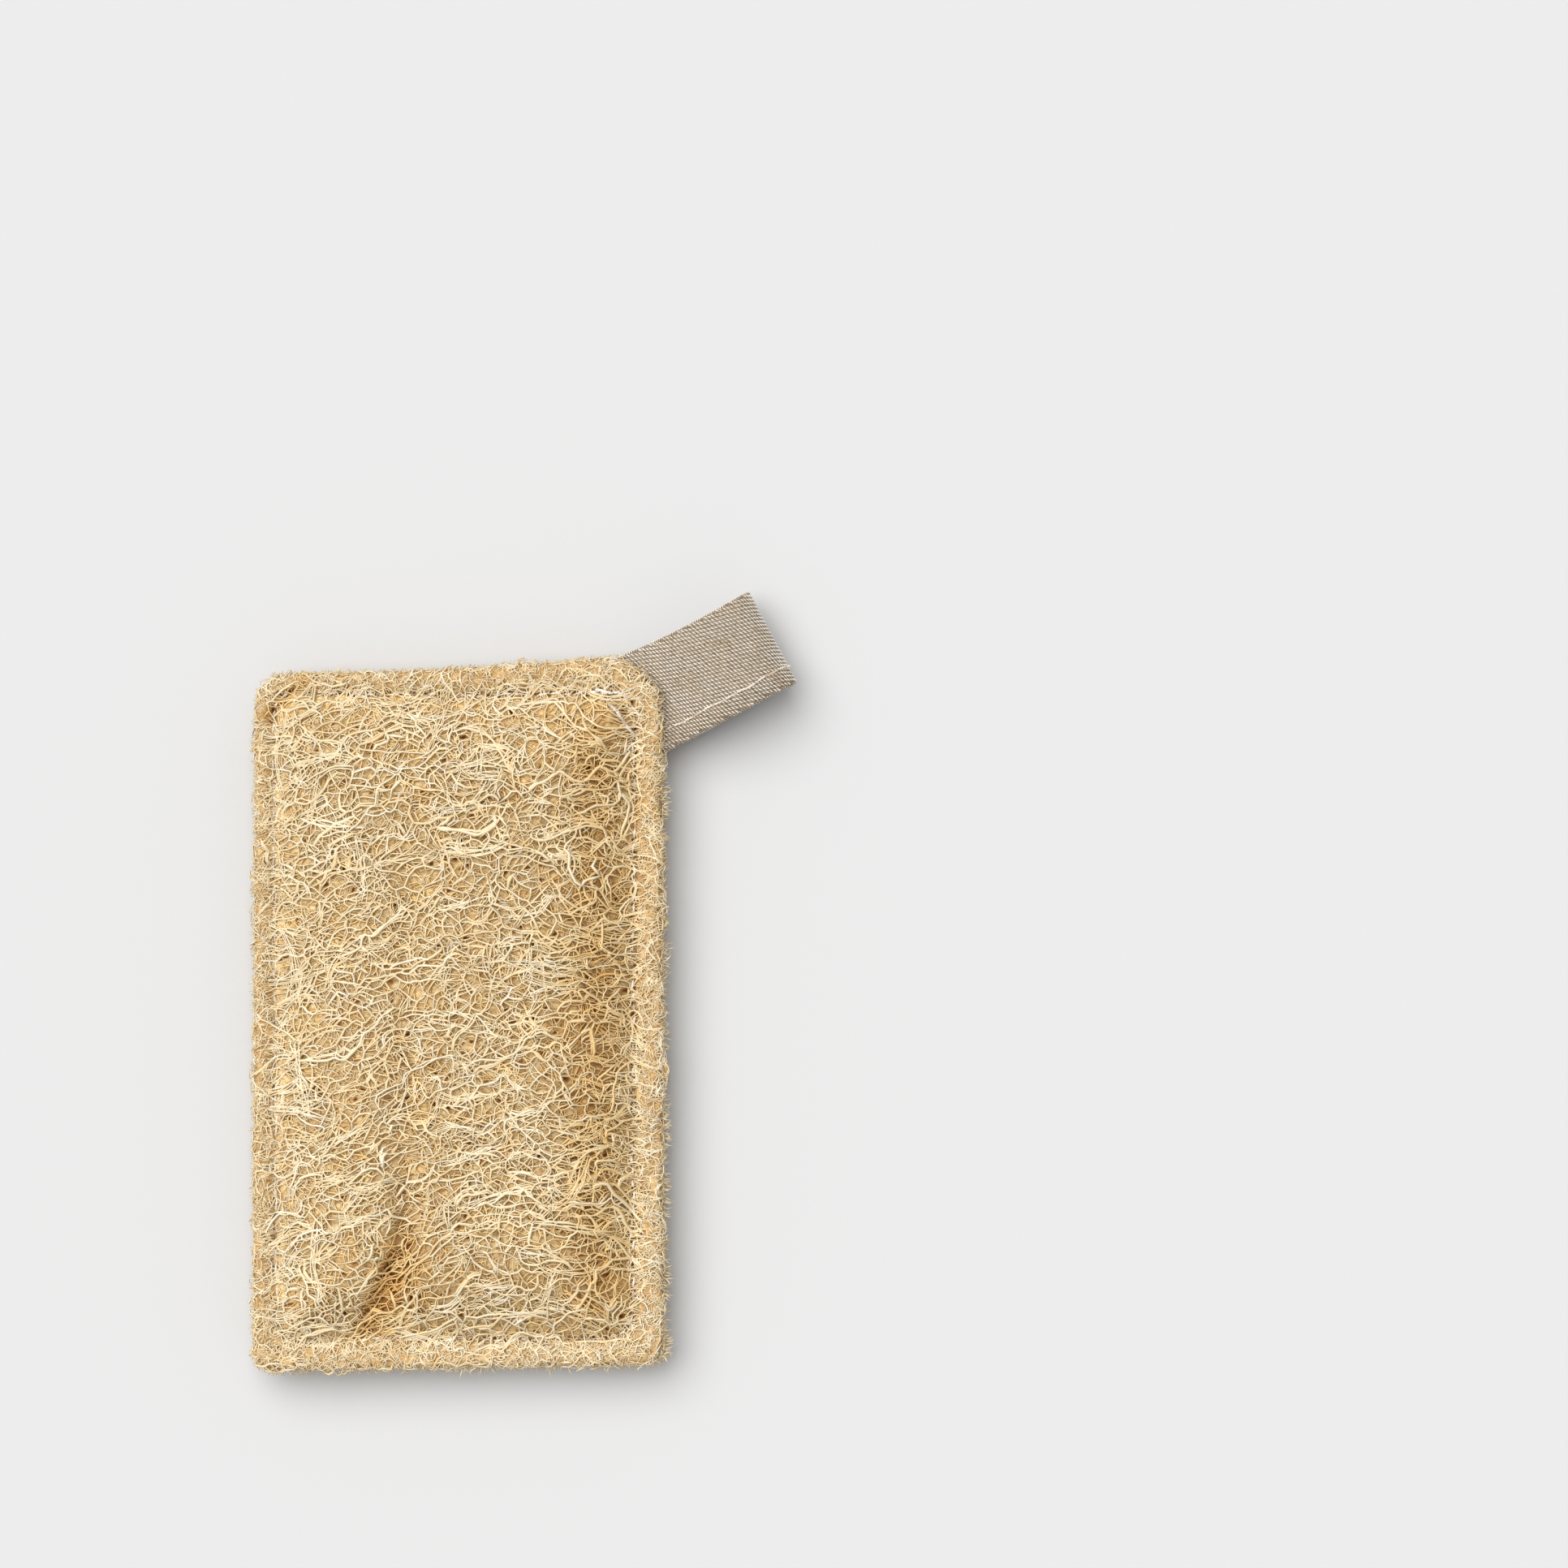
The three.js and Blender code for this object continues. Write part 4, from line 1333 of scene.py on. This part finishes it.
def edge_fringe(name, face, seed, points_each=4):
    """Cut ends of fibre that stand out of one layer's edge all round"""
    rng = np.random.default_rng(seed)
    places = loop_places(False, FRINGE_SPACING)
    count = len(places)
    wave = OUTLINE_WAVE(*places[:, :2].T)
    starts = places[:, :2] - places[:, 2:] * (rng.uniform(*FRINGE_INSET, (count, 1)) + wave[:, None])
    starts += rng.normal(0, 0.15, (count, 2))
    heading = np.arctan2(places[:, 3], places[:, 2]) + rng.normal(0, 0.6, count)
    longer_share = smooth_step((1 + places[:, 2] - places[:, 3]) / 2)
    lengths = rng.uniform(*FRINGE_LENGTH, count) * lerp(FRINGE_SHORTEST, 1, longer_share)
    p, q = free_lines(rng, starts, heading, lengths, rng.normal(0, 0.8, count), points_each)
    height = rng.uniform(0.1, EDGE_HEIGHT + 0.1, (count, 1)) + rng.normal(0, 0.12, p.shape)
    fringe = varied_strands(rng, p, q, 0.0, radius=(0.13, 0.25), tone=(0.72, 0.15))
    wall_points, wall_owner, wall_height = wall_strands(rng, WALL_FIBRES)
    points, owner = joined(fringe, (wall_points, wall_owner))
    height = np.concatenate([np.maximum(height, 0.1).ravel(), wall_height])
    fibre_piece(name, face, points, owner, height)


# Strap

STRAP_STATIONS = 110
STRAP_HIDDEN_LENGTH = 6.0
STRAP_NORMAL_STEP = 0.1
SECTION_SHARES = (-0.985, -0.5, 0.0, 0.5, 0.985)
FLOAT_SPACING = 0.74
FLOAT_ROW_PITCH = 0.77
FLOAT_ROW_SHIFT = -0.22
FLOAT_ROW_ANGLE = math.radians(15)
FLOAT_ANGLE = math.radians(54)
FLOAT_LENGTH = 0.98
FLOAT_RADIUS = 0.185
FLOAT_EDGE_MARGIN = 0.35
FLOAT_TONE = (0.77, 0.17)
SELVEDGE_PITCH = 0.5
SELVEDGE_RADIUS = 0.17


def strap_curve():
    """The strap's middle line, as distance out from the root and height over the meeting plane, with
    the length up to each place"""
    lower_leg = [(out, -up) for out, up in reversed(STRAP_LEG)]
    controls = np.array(STRAP_LEG + [(STRAP_REACH, 0.0)] + lower_leg, float)
    t = np.linspace(0, 1, 16, endpoint=False)[:, None]
    line = []
    for k in range(len(controls) - 1):
        before = controls[max(k - 1, 0)]
        after = controls[min(k + 2, len(controls) - 1)]
        line.append(catmull_rom(before, controls[k], controls[k + 1], after, t))
    line = np.concatenate(line + [controls[-1:]])
    return line, length_along(line)


STRAP_LINE, STRAP_DISTANCE = strap_curve()
STRAP_LENGTH = STRAP_DISTANCE[-1]


def strap_places(s, w, h, step=0.3):
    """Where places on the strap lie: s along its length, w across it, h out from its middle plane"""

    def on_line(distance):
        return [np.interp(distance, STRAP_DISTANCE, column) for column in STRAP_LINE.T]

    out, up = on_line(s)
    out_ahead, up_ahead = on_line(s + step)
    out_behind, up_behind = on_line(s - step)
    run = out_ahead - out_behind
    rise = up_ahead - up_behind
    size = np.hypot(run, rise)
    share = np.clip(out / STRAP_REACH, 0, 1)
    flare = 1 + STRAP_ROOT_FLARE * (1 - share) - STRAP_WAIST * np.sin(np.pi * share)
    w = np.where(w < 0, w * flare, w)
    out = out - h * rise / size
    up = up + h * run / size
    x = STRAP_ROOT[0] + out * math.cos(STRAP_ANGLE) + w * math.sin(STRAP_ANGLE)
    y = STRAP_ROOT[1] + out * math.sin(STRAP_ANGLE) - w * math.cos(STRAP_ANGLE)
    return np.stack([x, y, MEETING_HEIGHT + up], axis=-1)


def strap_tubes(name, s, w, h, radii, tone):
    """Yarns laid on the strap, one row of places for each"""
    places = strap_places(s, w, h).reshape(-1, 3)
    normals = strap_places(s, w, h + STRAP_NORMAL_STEP).reshape(-1, 3) - places
    owner = np.repeat(np.arange(len(s)), s.shape[1])
    radii = np.broadcast_to(radii, s.shape).ravel()
    tone = np.broadcast_to(tone, s.shape).ravel() + TONE_WAVER(s.ravel(), w.ravel())
    # Painted shade: the thinner parts of each yarn, where it dips into the weave, are painted darker
    depth = 0.5 * np.clip(1 - radii / radii.max(), 0, 1)
    return tube_piece(name, "hanging_loop", TWILL, places, owner, normals, radii, tone, depth)


def strap_ground():
    """The ribbon itself, a closed flat loop of section bent along the strap's line, dark with the painted
    shade seen between the floats
    """
    half = STRAP_WIDTH / 2
    section = []
    for side in (1, -1):
        for share in SECTION_SHARES:
            section.append((side * share * half, side * STRAP_HALF_THICKNESS))
        section.append((side * half, 0.0))
    w, h = np.array(section).T
    s, w = np.meshgrid(np.linspace(0, STRAP_LENGTH, STRAP_STATIONS), w, indexing="ij")
    vertices = strap_places(s, w, np.broadcast_to(h, s.shape)).reshape(-1, 3)
    count = len(section)
    ring = np.arange(len(vertices)).reshape(-1, count)
    quads = np.stack([ring[:-1], ring[1:], np.roll(ring[1:], -1, 1), np.roll(ring[:-1], -1, 1)], axis=2)
    faces = [quads.reshape(-1, 4)[:, ::-1], ring[:1], ring[-1:, ::-1]]
    i, j = np.meshgrid(np.arange(STRAP_STATIONS - 1), np.arange(count), indexing="ij")
    along = np.stack([i, i + 1, i + 1, i], axis=2) / (STRAP_STATIONS - 1)
    around = np.stack([j, j, j + 1, j + 1], axis=2) / count
    quad_uv = np.stack([along, around], axis=3).reshape(-1, 4, 2)[:, ::-1].reshape(-1, 2)
    uv = np.concatenate([quad_uv, np.zeros((2 * count, 2))])
    return make_piece("hanging_strap", "hanging_loop", STRAP_GAP_SHADE, vertices, faces, uv, {})


def strap_floats(name, side):
    """The pale yarns of the twill, in slanting rows over one side of the strap"""
    rng = np.random.default_rng(61 + side)
    reach = int(STRAP_LENGTH / min(FLOAT_SPACING, FLOAT_ROW_PITCH))
    k, row = np.meshgrid(np.arange(-reach, reach), np.arange(-reach, reach), indexing="ij")
    along = k * FLOAT_SPACING + row * FLOAT_ROW_SHIFT
    over = row * FLOAT_ROW_PITCH
    s = (along * math.cos(FLOAT_ROW_ANGLE) - over * math.sin(FLOAT_ROW_ANGLE)).ravel()
    w = (along * math.sin(FLOAT_ROW_ANGLE) + over * math.cos(FLOAT_ROW_ANGLE)).ravel()
    s = s + STRAP_LENGTH / 2
    inside = np.abs(s - STRAP_LENGTH / 2) < STRAP_LENGTH / 2 - STRAP_HIDDEN_LENGTH
    inside &= np.abs(w) < STRAP_WIDTH / 2 - FLOAT_EDGE_MARGIN
    s, w = s[inside], w[inside]
    count = len(s)
    share = np.array([-0.5, 0.0, 0.5])
    length = FLOAT_LENGTH * rng.uniform(0.88, 1.1, (count, 1))
    angle = FLOAT_ANGLE + rng.normal(0, 0.05, (count, 1))
    line_s = s[:, None] + rng.normal(0, 0.03, (count, 1)) + length * share * np.cos(angle)
    line_w = np.clip(w[:, None] + length * share * np.sin(angle), -STRAP_WIDTH / 2, STRAP_WIDTH / 2)
    rise = STRAP_HALF_THICKNESS + np.array([-0.02, 0.09, -0.02])
    radii = FLOAT_RADIUS * rng.uniform(0.85, 1.12, (count, 1)) * np.array([0.45, 1.0, 0.45])
    tone = FLOAT_TONE[0] + noise_of(62, 7, 0.15)(s, w) + rng.normal(0, FLOAT_TONE[1], count)
    return strap_tubes(name, line_s, line_w, side * rise, radii, tone[:, None])


def strap_selvedge():
    """Yarns that turn round the strap's two edges"""
    rng = np.random.default_rng(64)
    stations = np.arange(STRAP_HIDDEN_LENGTH, STRAP_LENGTH - STRAP_HIDDEN_LENGTH, SELVEDGE_PITCH)
    s = np.concatenate([stations, stations])[:, None] + np.array([-0.2, 0.0, 0.2])
    side = np.repeat([-1.0, 1.0], len(stations))[:, None]
    w = side * (STRAP_WIDTH / 2 + np.array([-0.3, 0.03, -0.3])) + rng.normal(0, 0.05, s.shape)
    h = STRAP_HALF_THICKNESS * np.array([1.2, 0.0, -1.2]) + np.zeros(s.shape)
    radii = SELVEDGE_RADIUS * rng.uniform(0.7, 1.1, (len(s), 1)) * np.array([0.6, 1.0, 0.6])
    return strap_tubes("strap_selvedge", s, w, h, radii, rng.normal(0.55, 0.15, (len(s), 1)))


# Sewing thread

PLY_TWIST = 1.5
PLY_OVERLAP = 1.1
SEAM_PLY = 0.14
SEAM_LIFT = 0.12
SEAM_LIFT_CHANGE = 0.16
SEAM_LIFT_RIGHT = 0.14
SEAM_RIGHT_CHANGE = (60, 70)
SEAM_WAVER = 0.2
SEAM_DIP_REACH = 0.45
# How deep the stitches dip: on the left and low, and on the right and high, where they are pulled in
SEAM_DIPS = (0.5, 1.3)
TACK_PLY = 0.105
TACK_LIFT = -0.02
TACK_ARCH = 0.25
TACK_END_DROP = 0.7
TACK_SIDE = 0.11
EDGE_PLY = 0.13
EDGE_STITCH_ACROSS = 6.4
EDGE_STITCH_LIFT = 0.28
EDGE_STITCH_DIP = 0.85
EDGE_DIP_REACH = 0.4
# Stitches of the tack, as the ends of each in X and Y
TACK_STITCHES = [
    ((26.5, 62.5), (30.1, 61.6)),
    ((30.9, 61.3), (35.1, 63.1)),
    ((32.0, 61.1), (35.9, 60.5)),
    ((29.0, 59.8), (31.3, 57.8)),
    ((30.6, 58.4), (32.9, 55.2)),
    ((32.4, 55.6), (35.1, 52.6)),
]


def thread_piece(name, node, places, owner, normals, ply, sides=5):
    """A thread of two plies twisted round each other"""
    across, up = frame_along(places, owner, normals)
    steps = np.linalg.norm(np.diff(places, axis=0, prepend=places[:1]), axis=1)
    turn = math.tau * np.cumsum(steps) / PLY_TWIST
    groups = []
    for start in (0.0, math.pi):
        wide = (ply * np.cos(turn + start))[:, None]
        high = (ply * np.sin(turn + start))[:, None]
        groups.append((places + wide * across + high * up, owner))
    places, owner = joined(*groups)
    radii = np.full(len(places), ply * PLY_OVERLAP)
    x, y = places[:, 0], places[:, 1]
    tone = 0.6 + noise_of(71, 2.2, 0.25)(x, y) + noise_of(72, 0.8, 0.1)(x, y)
    depth = np.clip(0.35 + noise_of(73, 5, 0.35)(x, y), 0.05, 0.9)
    return tube_piece(name, node, THREAD, places, owner, np.concatenate([normals, normals]),
                      radii, np.clip(tone, 0, 1), depth, sides, flatness=1.0)


def seam_thread(name, node, face, spacing, sides):
    """The row of stitches round the pad, each dipping into its needle holes"""
    places = loop_places(True, spacing)
    p, q = places[:, 0], places[:, 1]
    stitches = np.arange(len(places)) / len(places) * len(loop_places(True, STITCH_PITCH))
    from_hole = np.abs(stitches - np.round(stitches)) * STITCH_PITCH
    pulled_in = change(p, 30, 50) + smooth_step((q - PAD_LENGTH + 14) / 6)
    dip = bell(from_hole / SEAM_DIP_REACH) * lerp(*SEAM_DIPS, np.clip(pulled_in, 0, 1))
    waver = noise_of(74, 5, SEAM_WAVER)(p, q)
    x, y = pad_place(p + waver, q + waver)
    lift = SEAM_LIFT + noise_of(76, 8, SEAM_LIFT_CHANGE)(p, q)
    lift = lift + SEAM_LIFT_RIGHT * change(p, *SEAM_RIGHT_CHANGE)
    z = MEETING_HEIGHT + face * (face_height(p, q, face) + lift - dip)
    line = np.stack([x, y, z], axis=1)
    owner = np.zeros(len(line), int)
    thread_piece(name, node, line, owner, face_normals(face, len(line)), SEAM_PLY, sides)


def tack_thread(name, node, face):
    """The stitches that hold the strap's ends, two strands to each"""
    share = np.linspace(0, 1, 16)
    arch = TACK_LIFT + TACK_ARCH * np.sin(np.pi * share) - TACK_END_DROP * (2 * share - 1) ** 8
    lines = []
    for start, end in TACK_STITCHES:
        x = lerp(start[0], end[0], share)
        y = lerp(start[1], end[1], share)
        z = MEETING_HEIGHT + face * (face_height(*pad_share(x, y), face) + arch)
        for side in (-TACK_SIDE, TACK_SIDE):
            lines.append(np.stack([x + side * 0.7, y + side * 0.7, z], axis=1))
    places = np.concatenate(lines)
    owner = np.repeat(np.arange(len(lines)), len(share))
    thread_piece(name, node, places, owner, face_normals(face, len(places)), TACK_PLY)


def strap_stitch(name, node, side, hidden):
    """The row of stitches along the strap's lower edge, seen from one side"""
    s = np.arange(hidden, STRAP_LENGTH - hidden, 0.3)
    w = EDGE_STITCH_ACROSS + noise_of(75, 8, 0.12)(s, s)
    from_hole = ((s / STITCH_PITCH) % 1 - 0.5) * STITCH_PITCH
    dip = bell(from_hole / EDGE_DIP_REACH)
    h = side * (STRAP_HALF_THICKNESS + EDGE_STITCH_LIFT - EDGE_STITCH_DIP * dip)
    places = strap_places(s, w, h)
    normals = strap_places(s, w, h + side * STRAP_NORMAL_STEP) - places
    return thread_piece(name, node, places, np.zeros(len(s), int), normals, EDGE_PLY)


def hanging_loop():
    ground = strap_ground()
    parts = [
        strap_floats("strap_outer_weave", 1),
        strap_floats("strap_inner_weave", -1),
        strap_selvedge(),
        strap_stitch("strap_outer_stitches", "loop_outer_stitch", 1, hidden=9.0),
        strap_stitch("strap_inner_stitches", "loop_inner_stitch", -1, hidden=12.0),
    ]


# Studio

LIGHT_PLACE = (-0.43, 0.46, 1.25)
LIGHT_STRENGTH = 3.0
LIGHT_SPREAD = math.radians(60)
SKY_STRENGTH = 0.42
FLOOR_SHADE = 0.665
FLOOR_HALF_SIZE = 3.0


def make_camera():
    camera = placed("camera", bpy.data.cameras.new("camera"))
    camera.data.sensor_width = SENSOR_WIDTH
    camera.data.lens = SENSOR_WIDTH * (VIEW_HEIGHT - MEETING_HEIGHT) / VIEW_WIDTH
    camera.location = Vector((*VIEW_CENTRE, VIEW_HEIGHT)) * MM
    bpy.context.scene.camera = camera


def make_light():
    world = bpy.data.worlds.new("studio")
    bpy.context.scene.world = world
    world.use_nodes = True
    background = world.node_tree.nodes["Background"]
    background.inputs["Color"].default_value = (*WHITE, 1)
    background.inputs["Strength"].default_value = SKY_STRENGTH
    sun = placed("key_light", bpy.data.lights.new("key_light", "SUN"))
    sun.data.energy = LIGHT_STRENGTH
    sun.data.angle = LIGHT_SPREAD
    sun.rotation_euler = Vector(LIGHT_PLACE).to_track_quat("Z", "Y").to_euler()


def make_floor():
    material, _, shader = shader_of("studio_floor", 0.9, 0.1)
    shader.inputs["Base Color"].default_value = (FLOOR_SHADE, FLOOR_SHADE, FLOOR_SHADE, 1)
    corners = [(i * FLOOR_HALF_SIZE, j * FLOOR_HALF_SIZE, 0) for i, j in ((-1, -1), (1, -1), (1, 1), (-1, 1))]
    mesh = bpy.data.meshes.new("floor")
    mesh.from_pydata(corners, [], [(0, 1, 2, 3)])
    floor = placed("floor", mesh)
    floor.data.materials.append(material)


bpy.context.scene.view_settings.view_transform = "Standard"
make_camera()
make_light()
make_floor()
front_holes = np.concatenate([hole_spots(51, HOLE_COUNT), seam_holes()])
back_holes = hole_spots(52, HOLE_COUNT // 2)
core_piece("front_core", FRONT, front_holes, spacing=0.6)
core_piece("back_core", BACK, back_holes, spacing=1.0)
front_fibres(front_holes)
back_fibres(back_holes)
rim_fibres("front_rim_fur", FRONT, seed=301, count=3200)
rim_fibres("back_rim_fur", BACK, seed=302, count=1400)
edge_fringe("front_fringe", FRONT, seed=311)
edge_fringe("back_fringe", BACK, seed=312)
seam_thread("front_seam_stitches", "front_seam_thread", FRONT, spacing=0.35, sides=5)
seam_thread("back_seam_stitches", "back_seam_thread", BACK, spacing=0.5, sides=4)
tack_thread("front_tack_stitches", "front_tack_thread", FRONT)
tack_thread("back_tack_stitches", "back_tack_thread", BACK)
hanging_loop()
